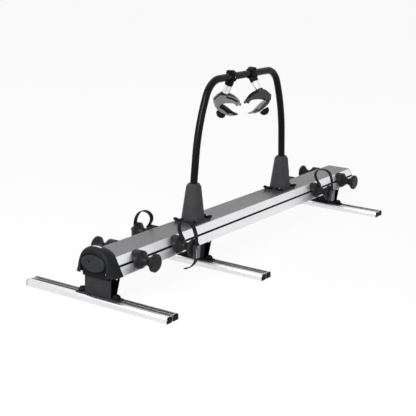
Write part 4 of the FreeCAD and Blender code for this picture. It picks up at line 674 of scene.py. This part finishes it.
# Floor rail end plugs: inner and outer reach of one, its foot, shoulders' radius and edge
PLUG_REACH = (4.3, 33.0)
PLUG_FOOT_Z = 0.0
PLUG_ROUND = 9.0
PLUG_EDGE = 0.0008
QUARTER = [math.pi / 2 * step / 8 for step in range(9)]
# Sheets of painted shade on the brackets' side walls: outline (x, z) of one, from the middle of its floor rail
BRACKET_SIDE = [(-6.0, 30.0), (-6.0, 94.0), (2.0, 107.0), (48.0, 107.0), (24.5, 30.0)]
BRACKET_SIDE_Y = 59.0
BRACKET_SHADE_THICKNESS = 0.25
BRACKET_MIDDLE_SHIFT = -15.5


def make_groove_shade_strips():
    """Thin dark strips of painted shade on the floors of the rail's two side grooves."""
    (top_y, top_z), (low_y, low_z) = SIDE_LINE
    slope = Vector((0, low_y - top_y, low_z - top_z)).normalized()
    normal = Vector((0, -slope.z, slope.y))
    middle_y = top_y + (low_y - top_y) * (top_z - HOLDER_LINE_Z) / (top_z - low_z)
    low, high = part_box("main_rail")
    start = Vector((low.x / MM + GROOVE_SHADE_END, middle_y, HOLDER_LINE_Z))
    length = high.x - low.x - 2 * GROOVE_SHADE_END * MM
    bm = bmesh.new()
    for side in (-1, 1):
        outline = []
        for along, depth in ((-1, 0), (1, 0), (1, 1), (-1, 1)):
            point = start + slope * (along * GROOVE_SHADE_HALF)
            point -= normal * GROOVE_SHADE_DEPTHS[depth]
            outline.append(Vector((point.x, side * point.y, point.z)) * MM)
        add_prism(bm, outline, Vector((length, 0, 0)))
    new_object("groove_painted_shade", bm, "hood_plastic", BODY_OF["main_rail"])


def make_hood_panels():
    """Dark walls inside the hood: beside and below its doorway, and across its rear."""
    bm = bmesh.new()
    for points, (front_x, rear_x) in ((HOOD_PANEL, HOOD_PANEL_X), (HOOD_BACK, HOOD_BACK_X)):
        for side in (-1, 1):
            outline = [Vector((front_x, side * y * MM, z * MM)) for y, z in points]
            add_prism(bm, outline, Vector((rear_x - front_x, 0, 0)))
    new_object("hood_inner_panels", bm, "black_plastic", HOOD_BODY)


def make_bracket_side_shade():
    """Sheets of painted shade on both side walls of the three brackets."""
    for place in ("front", "middle", "rear"):
        node = "bracket_" + place
        low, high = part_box(node)
        middle_x = (low.x + high.x) / 2 + BRACKET_MIDDLE_SHIFT * MM
        bm = bmesh.new()
        for side in (-1, 1):
            outline = [Vector((middle_x + x * MM, side * BRACKET_SIDE_Y * MM, z * MM))
                       for x, z in BRACKET_SIDE]
            add_prism(bm, outline, Vector((0, side * BRACKET_SHADE_THICKNESS * MM, 0)))
        shade_sheets = new_object("bracket_side_painted_shade_" + place, bm, "black_plastic", BODY_OF[node])
        # The sheets take the near-black shaded material, as painted shade
        shade_sheets.data.materials[0] = MATERIALS["shaded_black"]


def floor_rail_middles():
    """Middle of each floor rail in plan, from its screw holes."""
    return [Vector(mount["pos_m"]) for mount in frame["record"]["mounts"]
            if mount["name"].endswith("floor_rail_screws")]


def floor_rail_half_length():
    """Half a floor rail's length without its plugs."""
    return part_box("floor_rails")[1].y - max(middle.y for middle in floor_rail_middles())


def make_floor_shade_bands():
    """Dark bands of painted shade along the tops of the floor rails' two ridges."""
    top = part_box("floor_rails")[1].z
    foot, head = top - FLOOR_SHADE_SUNK * MM, top + FLOOR_SHADE_THICKNESS * MM
    reach = floor_rail_half_length() - FLOOR_SHADE_END * MM
    bm = bmesh.new()
    for middle in floor_rail_middles():
        for near, far in FLOOR_SHADE_BANDS:
            add_box(bm, (middle.x + near * MM, middle.y - reach, foot),
                    (middle.x + far * MM, middle.y + reach, head))
    new_object("floor_rail_painted_shade", bm, "base_plastic", BODY_OF["floor_rails"])


def make_end_plugs():
    """Round-shouldered plugs on the ends of the floor rails' ridges."""
    node = "floor_rail_end_plugs"
    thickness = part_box(node)[0].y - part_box("floor_rails")[0].y
    inner, outer = PLUG_REACH
    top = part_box("floor_rails")[1].z / MM
    outline = [(inner, PLUG_FOOT_Z)]
    outline += [(inner + PLUG_ROUND * (1 - math.cos(angle)),
                 top - PLUG_ROUND * (1 - math.sin(angle))) for angle in QUARTER]
    outline += [(outer - PLUG_ROUND * (1 - math.sin(angle)),
                 top - PLUG_ROUND * (1 - math.cos(angle))) for angle in QUARTER]
    outline.append((outer, PLUG_FOOT_Z))
    bm = bmesh.new()
    for middle in floor_rail_middles():
        for ridge in (-1, 1):
            for end in (-1, 1):
                y = middle.y + end * floor_rail_half_length()
                points = [Vector((middle.x + ridge * x * MM, y, z * MM)) for x, z in outline]
                add_prism(bm, points, Vector((0, -end * thickness, 0)))
    plugs = new_object("end_plug_set", bm, SLOT_OF[node], BODY_OF[node])
    add_bevel(plugs, PLUG_EDGE)
    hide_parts(node)


# Claws: side outlines in millimetres, along the reach and up the arm
CLAW_BACK = (-38.0, -41.0)
CLAW_TOP_LINE = [(-25.0, -14.0), (-9.0, -2.5), (19.0, 1.0), (48.0, -4.0)]
CLAW_TIP = [(76.0, -20.0), (76.0, -29.0), (65.0, -27.0), (60.0, -35.0)]
CLAW_UNDERSIDE = [(42.0, -26.0), (10.0, -34.0), (-5.0, -43.0)]
CLAW_GROOVE_DEPTH = 3.5
CLAW_GROOVE_FLOOR = [(65.0, -24.5), (60.0, -30.0), (42.0, -25.0), (10.0, -33.0), (-5.0, -41.0)]
CLAW_HALF_THICKNESS = 20.0
CLAW_WALL_INSIDE = 10.5
# Part of the smoothed top line that the groove follows
CLAW_GROOVE_PART = slice(2, -4)
# Sunk band on the claw's sides: where it starts, how many points before the tip its edges
# stop, how far they lie under the top line, its depth, and how much its dark floor and the
# groove's reach into the walls
CLAW_SIDE_BAND_FROM = 4.0
CLAW_SIDE_BAND_STOP = (3, 5)
CLAW_SIDE_BAND = (4.0, 12.0)
CLAW_SIDE_BAND_DEPTH = 3.0
CLAW_BAND_FLOOR_HALF = 0.6
CLAW_GROOVE_REACH = 0.3
CLAW_CUT_ROOM = 1.0
CLAW_EDGE = 0.0018
# Jaw's pivot and the arcs round it: radius, start and end in degrees, and steps
JAW_PIVOT = (-20.0, -50.0)
EAR_ARC = (12.0, 0, -180, 14)
KNUCKLE_ROOM_ARC = (14.0, 40, 150, 10)
KNUCKLE_ARC = (9.0, 25, 205, 14)
JAW_PIN_ARC = (4.0, 0, 345, 23)
JAW_HALF_THICKNESS = 18.0
JAW_TONGUE_HALF = 9.8
JAW_SHELL = [(-7.0, -56.0), (-10.0, -60.0), (-14.0, -63.5), (-18.0, -67.0), (-12.0, -71.0),
             (6.0, -78.0), (33.0, -84.0), (52.0, -82.5), (63.0, -78.0), (60.0, -74.0),
             (40.0, -71.0), (16.0, -63.0)]
JAW_TONGUE = [(-27.0, -59.0), (-18.0, -67.0), (-4.0, -68.0), (-4.0, -56.0)]
JAW_PIN_INSET = 0.2
JAW_EDGE = 0.0016
# Jaw pad: reach, mouth side height, back side height and half width
JAW_PAD = [(-5.5, -52.0, -60.0, 18.7), (4.0, -50.5, -63.0, 18.7), (18.0, -53.5, -68.0, 18.6),
           (35.0, -60.0, -76.0, 18.4), (50.0, -66.0, -79.5, 17.0), (62.0, -70.6, -79.0, 14.0),
           (72.0, -72.2, -77.0, 10.0), (82.0, -71.5, -74.0, 5.0)]
JAW_PAD_RIBS = 15
JAW_PAD_RIB_STATIONS = 4
JAW_PAD_RIB_DEPTH = 1.3
JAW_PAD_RIBBED_SHARE = 0.8
JAW_PAD_EDGE = 0.0006
CLAW_COLLAR = [(-12.0, 19.0), (1.5, 19.0), (3.0, 17.6), (3.0, 15.5)]
KNOB_DOME = [(0.0, 17.0), (0.6, 19.6), (2.5, 21.0), (7.0, 21.0), (12.0, 19.6), (17.0, 16.2),
             (21.0, 11.0), (23.4, 5.0), (24.0, 0.8)]
KNOB_SCOOPS = scooped(7, 0.075, 2)
KNOB_SPINDLE = [(-12.0, 4.9), (1.0, 4.9)]
# The same rubber pad on both claws: painted shade in black on the front claw, painted light in grey on the rear
CLAW_PAD_LIT_SHADED_SLOT = {"front": "black_plastic", "rear": "lever_plastic"}


def claw_axes(arm):
    """Origin and axes of a claw: along its reach, across it and up its arm."""
    swivel = JOINTS[arm + "_claw_swivel"]
    up = Vector(swivel["axis"]).normalized()
    across = Vector(JOINTS[arm + "_jaw_hinge"]["axis"]).normalized()
    return Vector(swivel["pos_m"]), across.cross(up).normalized(), across, up


def claw_prism(bm, arm, outline, near, far):
    """Side outline of a claw pushed across it between two distances."""
    origin, reach, across, up = claw_axes(arm)
    points = [origin + (reach * u + up * v + across * near) * MM for u, v in outline]
    add_prism(bm, points, across * ((far - near) * MM))


def pivot_arc(radius, start, end, count):
    """Points on an arc round the jaw's pivot, in the claw's side plane."""
    angles = [math.radians(start + (end - start) * index / count) for index in range(count + 1)]
    return [(JAW_PIVOT[0] + radius * math.cos(angle), JAW_PIVOT[1] + radius * math.sin(angle))
            for angle in angles]


def smooth_line(points, steps=6):
    """Smooth run through plain (u, v) pairs."""
    return [tuple(point) for point in smooth_points([Vector(pair) for pair in points], steps)]


def make_claw_hook(arm):
    """Upper jaw: two ridged walls with a dark groove between them."""
    body = BODY_OF["claw_" + arm]
    slot = SLOT_OF["claw_" + arm]
    top = smooth_line([CLAW_BACK] + CLAW_TOP_LINE + [CLAW_TIP[0]])
    underside = smooth_line([CLAW_TIP[-1]] + CLAW_UNDERSIDE)
    outline = top + CLAW_TIP[1:-1] + underside + pivot_arc(*EAR_ARC)
    bm = bmesh.new()
    for near, far in ((-CLAW_HALF_THICKNESS, -CLAW_WALL_INSIDE),
                      (CLAW_WALL_INSIDE, CLAW_HALF_THICKNESS)):
        claw_prism(bm, arm, outline, near, far)
    hook = new_object("claw_walls_" + arm, bm, slot, body)
    band = [point for point in top if point[0] > CLAW_SIDE_BAND_FROM]
    upper, lower = (band[:-stop] for stop in CLAW_SIDE_BAND_STOP)
    band = ([(u, v - CLAW_SIDE_BAND[0]) for u, v in upper]
            + [(u, v - CLAW_SIDE_BAND[1]) for u, v in reversed(lower)])
    cutter = bmesh.new()
    inside = CLAW_HALF_THICKNESS - CLAW_SIDE_BAND_DEPTH
    outside = CLAW_HALF_THICKNESS + CLAW_CUT_ROOM
    claw_prism(cutter, arm, band, inside, outside)
    claw_prism(cutter, arm, band, -outside, -inside)
    cut_away(hook, cutter)
    add_bevel(hook, CLAW_EDGE, segments=3, angle=25)
    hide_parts("claw_" + arm)
    groove = [(u, v - CLAW_GROOVE_DEPTH) for u, v in top[CLAW_GROOVE_PART]]
    groove += CLAW_GROOVE_FLOOR + pivot_arc(*KNUCKLE_ROOM_ARC)
    groove_half = CLAW_WALL_INSIDE + CLAW_GROOVE_REACH
    bm = bmesh.new()
    claw_prism(bm, arm, groove, -groove_half, groove_half)
    near, far = inside - CLAW_BAND_FLOOR_HALF, inside + CLAW_BAND_FLOOR_HALF
    claw_prism(bm, arm, band, near, far)
    claw_prism(bm, arm, band, -far, -near)
    new_object("claw_groove_" + arm, bm, "black_plastic", body)
    origin, _, _, up = claw_axes(arm)
    bm = bmesh.new()
    add_lathe(bm, origin, up, CLAW_COLLAR)
    new_object("claw_collar_" + arm, bm, "black_plastic", body, SOFT_ANGLE)


def pad_stations():
    """Jaw pad's stations with its ribs let in."""
    stations = []
    last = JAW_PAD[-1][0]
    count = JAW_PAD_RIBS * JAW_PAD_RIB_STATIONS
    for index in range(count + 1):
        u = JAW_PAD[0][0] + (last - JAW_PAD[0][0]) * index / count
        for before, after in zip(JAW_PAD, JAW_PAD[1:]):
            if before[0] <= u <= after[0]:
                share = (u - before[0]) / (after[0] - before[0])
                high, low, half = (first + (second - first) * share
                                   for first, second in zip(before[1:], after[1:]))
        in_valley = index % JAW_PAD_RIB_STATIONS >= JAW_PAD_RIB_STATIONS / 2
        ribbed = u < JAW_PAD_RIBBED_SHARE * last
        stations.append((u, high - JAW_PAD_RIB_DEPTH * (in_valley and ribbed), low, half))
    return stations


def make_claw_jaw(arm):
    """Lower jaw: a moulded shell under a ribbed pad that ends in a thin tip."""
    body = BODY_OF["claw_jaw_" + arm]
    bm = bmesh.new()
    claw_prism(bm, arm, JAW_SHELL, -JAW_HALF_THICKNESS, JAW_HALF_THICKNESS)
    claw_prism(bm, arm, pivot_arc(*KNUCKLE_ARC) + JAW_TONGUE, -JAW_TONGUE_HALF, JAW_TONGUE_HALF)
    pin_half = CLAW_HALF_THICKNESS - JAW_PIN_INSET
    claw_prism(bm, arm, pivot_arc(*JAW_PIN_ARC), -pin_half, pin_half)
    shell = new_object("jaw_shell_" + arm, bm, SLOT_OF["claw_jaw_" + arm], body)
    add_bevel(shell, JAW_EDGE, segments=3, angle=25)
    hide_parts("claw_jaw_" + arm)
    origin, reach, across, up = claw_axes(arm)
    rings = []
    for u, high, low, half in pad_stations():
        corners = ((high, half), (low, half), (low, -half), (high, -half))
        rings.append([origin + (reach * u + up * height + across * out) * MM
                      for height, out in corners])
    bm = bmesh.new()
    add_loft(bm, rings)
    # Its material paints in shade on the front claw and light on the rear
    pad = new_object("jaw_pad_" + arm, bm, CLAW_PAD_LIT_SHADED_SLOT[arm], body, FLAT_ANGLE)
    add_bevel(pad, JAW_PAD_EDGE, angle=50)


def make_claw_knob(arm):
    """Domed knob with shallow finger scoops on a short spindle."""
    turn = JOINTS[arm + "_claw_knob_turn"]
    place = Vector(turn["pos_m"])
    axis = Vector(turn["axis"]).normalized()
    bm = bmesh.new()
    add_lathe(bm, place, axis, KNOB_DOME, count=84, radius_at=KNOB_SCOOPS)
    node = "claw_knob_" + arm
    knob = new_object("knob_dome_" + arm, bm, SLOT_OF[node], BODY_OF[node], TURNED_ANGLE)
    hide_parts(node)
    bm = bmesh.new()
    add_lathe(bm, place, axis, KNOB_SPINDLE, count=24)
    new_object("knob_spindle_" + arm, bm, "steel", BODY_OF[node], TURNED_ANGLE)


# Tube clamps: (along the bar, half width, outer height) of each section, in millimetres
CLAMP_COLLAR = [(14.0, 19.2, 20.5), (19.0, 18.4, 18.6)]
CLAMP_CAP_SECTIONS = [(-13.0, 19.6, 24.6), (-11.5, 20.4, 25.8), (4.0, 20.4, 25.8)] + CLAMP_COLLAR
CLAMP_BODY_SECTIONS = [(-13.0, 19.6, 22.0), (-11.5, 20.4, 24.0), (4.0, 20.4, 24.0)] + CLAMP_COLLAR
CLAMP_OUTLINE = [(1.0, 0.62), (0.86, 1.0), (-0.45, 1.06), (-0.9, 0.62)]
CLAMP_BORE_RADIUS = 15.3
CLAMP_SPLIT_HALF = 0.5
CLAMP_BORE_STEPS = 16
CLAMP_EDGE = 0.0012
CLAMP_BOSS = [(-38.0, 16.2), (-37.0, 17.4), (-20.0, 17.8), (-17.5, 16.0)]
CLAMP_SCREW_AT = 17.4
CLAMP_SCREW = [(-16.0, 1.5), (5.0, 1.5), (5.0, 2.0), (8.0, 2.0)]


def arm_axes(arm):
    """Clamp's centre on the bar and its axes: along the bar, across it and up the arm."""
    place, _, _, up = claw_axes(arm)
    along = ALONG_X if arm == "front" else -ALONG_X
    centre_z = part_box("hoop_tube")[1].z - CLAMP_BORE_RADIUS * MM
    share = (centre_z - place.z) / up.z
    return place + up * share, along, up.cross(along).normalized(), up


def clamp_half(arm, sections, side):
    """Rings of one half of a clamp, on one side of its split; the cap stands upright."""
    centre, along, across, up = arm_axes(arm)
    lean = math.atan2(across.z, abs(across.y)) if side > 0 else 0.0
    turn_back = Matrix.Rotation(-lean, 2)
    tilt = math.asin(CLAMP_SPLIT_HALF / CLAMP_BORE_RADIUS)
    rings = []
    for x, half, height in sections:
        corners = [turn_back @ Vector((half * y, height * z)) for y, z in CLAMP_OUTLINE]
        outline = [(half, CLAMP_SPLIT_HALF)] + [tuple(corner) for corner in corners]
        outline.append((-half, CLAMP_SPLIT_HALF))
        for step in range(CLAMP_BORE_STEPS + 1):
            angle = math.pi - tilt - (math.pi - 2 * tilt) * step / CLAMP_BORE_STEPS
            outline.append((CLAMP_BORE_RADIUS * math.cos(angle),
                            CLAMP_BORE_RADIUS * math.sin(angle)))
        rings.append([centre + (along * x + across * y + up * (side * z)) * MM
                      for y, z in outline])
    return rings


def make_clamp(arm):
    """Two halves of a tube clamp that narrow to a collar on one side, and their screws."""
    body = BODY_OF["clamp_body_" + arm]
    centre, _, across, up = arm_axes(arm)
    for node, sections, side in (("clamp_cap_", CLAMP_CAP_SECTIONS, 1),
                                 ("clamp_body_", CLAMP_BODY_SECTIONS, -1)):
        bm = bmesh.new()
        add_loft(bm, clamp_half(arm, sections, side))
        if side < 0:
            add_lathe(bm, centre, up, CLAMP_BOSS)
        half = new_object(node + "shell_" + arm, bm, SLOT_OF[node + arm], body, FLAT_ANGLE)
        add_bevel(half, CLAMP_EDGE, segments=3, angle=30)
        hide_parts(node + arm)
    bm = bmesh.new()
    for shift in (-CLAMP_SCREW_AT, CLAMP_SCREW_AT):
        add_lathe(bm, centre + across * (shift * MM), up, CLAMP_SCREW, count=20)
    screws = new_object("clamp_socket_screws_" + arm, bm, SLOT_OF["clamp_screws_" + arm], body)
    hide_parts("clamp_screws_" + arm)


# Wheel straps: middle line as (outward, height), in millimetres; root, loop, run down, tail
STRAP_ROOT = [(105.0, 167.0)]
STRAP_LOOPS = {
    "front": [(95.0, 181.0), (87.5, 197.0), (85.0, 214.0), (90.0, 230.0), (104.0, 241.0),
              (123.5, 243.0), (141.5, 233.5), (155.0, 213.5), (163.0, 188.0)],
    "rear_right": [(93.0, 183.0), (81.5, 199.0), (76.0, 216.0), (80.0, 232.0), (95.0, 244.0),
                   (122.0, 247.0), (145.0, 238.0), (158.0, 216.0), (164.0, 189.0)],
    "rear_left": [(97.5, 179.0), (93.0, 191.0), (93.0, 204.0), (100.0, 214.0), (112.0, 220.0),
                  (126.0, 219.0), (139.0, 213.0), (151.0, 202.0), (159.5, 189.0),
                  (163.4, 175.5)],
}
STRAP_DOWN = [(164.8, 162.0), (164.8, 135.0), (164.8, 104.0)]
STRAP_TAIL = [(162.0, 91.0), (155.0, 79.0), (143.0, 67.0), (129.0, 58.0), (115.0, 54.5)]
STRAP_TOP_Z = 243.0
STRAP_ROOT_Z = 168.0
STRAP_DRAWN_IN = {"front_left": 14.0}
STRAP_HALF_WIDTH = 9.8
STRAP_HALF_THICKNESS = 1.6
STRAP_TOOTH = 0.45
STRAP_STEP = 1.6
STRAP_FINE_STEPS = 24
STRAP_TOOTHED_PART = (0.1, 0.97)
STRAP_TAIL_BELOW_Z = 0.09
LEVER_HALF_WIDTH = 10.2
LEVER_OUTLINE = [(-3.4, 0.0), (-3.2, 2.6), (-2.0, 4.4), (0.0, 5.0), (2.4, 4.4), (4.3, 2.6),
                 (5.0, 0.0), (5.0, -26.0), (4.6, -38.0), (2.6, -42.0), (-1.2, -42.0),
                 (-3.0, -38.0)]
# The lever's sunk panel: half width, lower end, upper end and depth
LEVER_PANEL = (7.2, -36.0, -4.0, 1.3)
LEVER_PIN = [(-13.4, 1.9), (13.4, 1.9)]
LEVER_EDGE = 0.0007
# Two corners of a buckle cheek, from the lever's hinge: along the rail, outward and up
BUCKLE_CHEEK = ((10.9, -14.0, -41.0), (13.7, -1.0, 10.0))
BUCKLE_CHEEK_EDGE = 0.0010


def even_line(points, step):
    """Points spaced evenly along a smooth run through given points."""
    fine = smooth_points([Vector(pair) for pair in points], STRAP_FINE_STEPS)
    made = [fine[0]]
    left = step
    for before, after in zip(fine, fine[1:]):
        span = (after - before).length
        while span >= left:
            before = before.lerp(after, left / span)
            made.append(before)
            span = (after - before).length
            left = step
        left -= span
    return made


def make_strap(place):
    """Toothed band from the holder, over the wheel's rim and down through the buckle."""
    side = 1 if place.endswith("left") else -1
    node = "wheel_strap_" + place
    x = JOINTS[place + "_lever_hinge"]["pos_m"][0]
    loop = STRAP_LOOPS.get(place, STRAP_LOOPS["front"])
    points = STRAP_ROOT + loop + STRAP_DOWN
    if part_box(node)[0].z < STRAP_TAIL_BELOW_Z:
        points = points + STRAP_TAIL
    drawn = STRAP_DRAWN_IN.get(place, 0.0)
    lowered = []
    for out, z in points:
        share = min(1.0, max(0.0, (z - STRAP_ROOT_Z) / (STRAP_TOP_Z - STRAP_ROOT_Z)))
        lowered.append((out, z - drawn * share))
    line = even_line(lowered, STRAP_STEP)
    rings = []
    for index, point in enumerate(line):
        before = line[max(index - 1, 0)]
        after = line[min(index + 1, len(line) - 1)]
        along = (after - before).normalized()
        across = Vector((-along.y, along.x))
        toothed = STRAP_TOOTHED_PART[0] < index / len(line) < STRAP_TOOTHED_PART[1]
        outer = STRAP_HALF_THICKNESS + STRAP_TOOTH * (index % 2) * toothed
        ring = []
        for width, depth in ((-1, -STRAP_HALF_THICKNESS), (1, -STRAP_HALF_THICKNESS),
                             (1, outer), (-1, outer)):
            spot = point + across * depth
            ring.append(Vector((x + width * STRAP_HALF_WIDTH * MM, side * spot.x * MM,
                                spot.y * MM)))
        rings.append(ring)
    bm = bmesh.new()
    add_loft(bm, rings)
    strap = new_object("strap_band_" + place, bm, SLOT_OF[node], BODY_OF[node], FLAT_ANGLE)
    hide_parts(node)


def make_lever(place):
    """Buckle lever with a rounded top, a sunk panel and pivot pins."""
    side = 1 if place.endswith("left") else -1
    node = "buckle_lever_" + place
    pivot = Vector(JOINTS[place + "_lever_hinge"]["pos_m"])
    half = LEVER_HALF_WIDTH * MM
    bm = bmesh.new()
    outline = [pivot + Vector((-half, side * out * MM, z * MM)) for out, z in LEVER_OUTLINE]
    add_prism(bm, outline, Vector((2 * half, 0, 0)))
    lever = new_object("lever_body_" + place, bm, SLOT_OF[node], BODY_OF[node], FLAT_ANGLE)
    panel_half, low, high, depth = (size * MM for size in LEVER_PANEL)
    outer = max(out for out, _ in LEVER_OUTLINE) * MM
    near, far = sorted((side * (outer - depth), side * (outer + depth)))
    cutter = bmesh.new()
    add_box(cutter, pivot + Vector((-panel_half, near, low)),
            pivot + Vector((panel_half, far, high)))
    cut_away(lever, cutter)
    add_bevel(lever, LEVER_EDGE)
    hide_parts(node)
    bm = bmesh.new()
    add_lathe(bm, pivot, ALONG_X, LEVER_PIN, count=24)
    new_object("lever_pin_" + place, bm, SLOT_OF[node], BODY_OF[node])
    low, high = (Vector(corner) * MM for corner in BUCKLE_CHEEK)
    near, far = sorted((side * low.y, side * high.y))
    bm = bmesh.new()
    for end in (-1, 1):
        first, last = sorted((end * low.x, end * high.x))
        add_box(bm, pivot + Vector((first, near, low.z)), pivot + Vector((last, far, high.z)))
    cheeks = new_object("buckle_cheeks_" + place, bm, "claw_dark", BODY_OF["strap_cradle_" + place])
    add_bevel(cheeks, BUCKLE_CHEEK_EDGE)


# Wing nuts and foot knobs, in millimetres
WING_REACH = 22.0
WING_STATIONS = 24
WING_HALF_WIDTH = 10.0
# Half height and lift at the hub and at the tip, how the lift grows, and how the tip closes
WING_HALF_HEIGHT = (4.6, 6.6)
WING_LIFT = (5.4, 7.0)
WING_LIFT_POWER = 1.5
WING_TIP_POWER = 10
WING_TIP_SHARE = 0.06
WING_RING_ANGLES = [2 * math.pi * step / 16 for step in range(16)]
WING_HUB = [(0.0, 7.6), (1.0, 8.0), (5.0, 7.2), (6.5, 6.0)]
FOOT_KNOB_PROFILE = [(0.0, 14.6), (1.2, 15.6), (6.0, 15.6), (10.0, 14.2), (13.4, 11.4),
                     (15.8, 7.0), (16.6, 0.8)]
FOOT_KNOB_SCOOPS = scooped(5, 0.16, 3)
SAME_PIECE_GAP = 0.022


def piece_centres(name):
    """Middles in plan and lowest height of a node's separate solids."""
    node = NODES[name]
    groups = []
    for vertex in node.data.vertices:
        spot = node.matrix_world @ vertex.co
        for low, high in groups:
            middle = (low + high) / 2
            if max(abs(spot.x - middle.x), abs(spot.y - middle.y)) < SAME_PIECE_GAP:
                low[:] = [min(pair) for pair in zip(low, spot)]
                high[:] = [max(pair) for pair in zip(high, spot)]
                break
        else:
            groups.append((spot.copy(), spot.copy()))
    return [Vector(((low.x + high.x) / 2, (low.y + high.y) / 2, low.z)) for low, high in groups]


def add_wings(bm, foot):
    """Two rounded wings across a nut's hub, as one smooth bar."""
    rings = []
    for index in range(WING_STATIONS + 1):
        share = 2 * index / WING_STATIONS - 1
        turn = math.sin(share * math.pi / 2)
        side = abs(turn)
        closing = math.sqrt(max(0.0, 1 - side ** WING_TIP_POWER))
        end = closing * (1 - WING_TIP_SHARE) + WING_TIP_SHARE
        lift = WING_LIFT[0] + (WING_LIFT[1] - WING_LIFT[0]) * side ** WING_LIFT_POWER
        high = (WING_HALF_HEIGHT[0] + (WING_HALF_HEIGHT[1] - WING_HALF_HEIGHT[0]) * side) * end
        wide = WING_HALF_WIDTH * end
        centre = foot + Vector((0, WING_REACH * turn, lift)) * MM
        rings.append([centre + Vector((wide * math.cos(angle), 0, high * math.sin(angle))) * MM
                      for angle in WING_RING_ANGLES])
    add_loft(bm, rings)


def make_wing_nuts():
    """All wing nuts on the hoop bases' flanges."""
    bm = bmesh.new()
    for centre in piece_centres("base_studs"):
        foot = Vector((centre.x, centre.y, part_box("base_wing_nuts")[0].z))
        add_lathe(bm, foot, UPRIGHT, WING_HUB, count=32)
        add_wings(bm, foot)
    node = "base_wing_nuts"
    nuts = new_object("wing_nut_set", bm, SLOT_OF[node], BODY_OF[node], SOFT_ANGLE)
    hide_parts(node)


def make_foot_knobs():
    """Low rounded knobs on the bolts that hold the brackets to the floor rails."""
    bm = bmesh.new()
    for centre in piece_centres("foot_knobs"):
        add_lathe(bm, centre, UPRIGHT, FOOT_KNOB_PROFILE, count=60, radius_at=FOOT_KNOB_SCOOPS)
    knobs = new_object("foot_knob_set", bm, SLOT_OF["foot_knobs"], BODY_OF["foot_knobs"],
                       SOFT_ANGLE)
    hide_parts("foot_knobs")


make_camera()
make_studio()
make_hood()
make_handle_face()
make_hood_screw()
make_groove_shade_strips()
make_hood_panels()
make_bracket_side_shade()
make_floor_shade_bands()
make_end_plugs()
make_wing_nuts()
make_foot_knobs()
for place_name in PLACES:
    make_strap(place_name)
    make_lever(place_name)
for arm_name in ARMS:
    make_claw_hook(arm_name)
    make_claw_jaw(arm_name)
    make_claw_knob(arm_name)
    make_clamp(arm_name)
for node_name in NODES:
    dress_node(node_name)
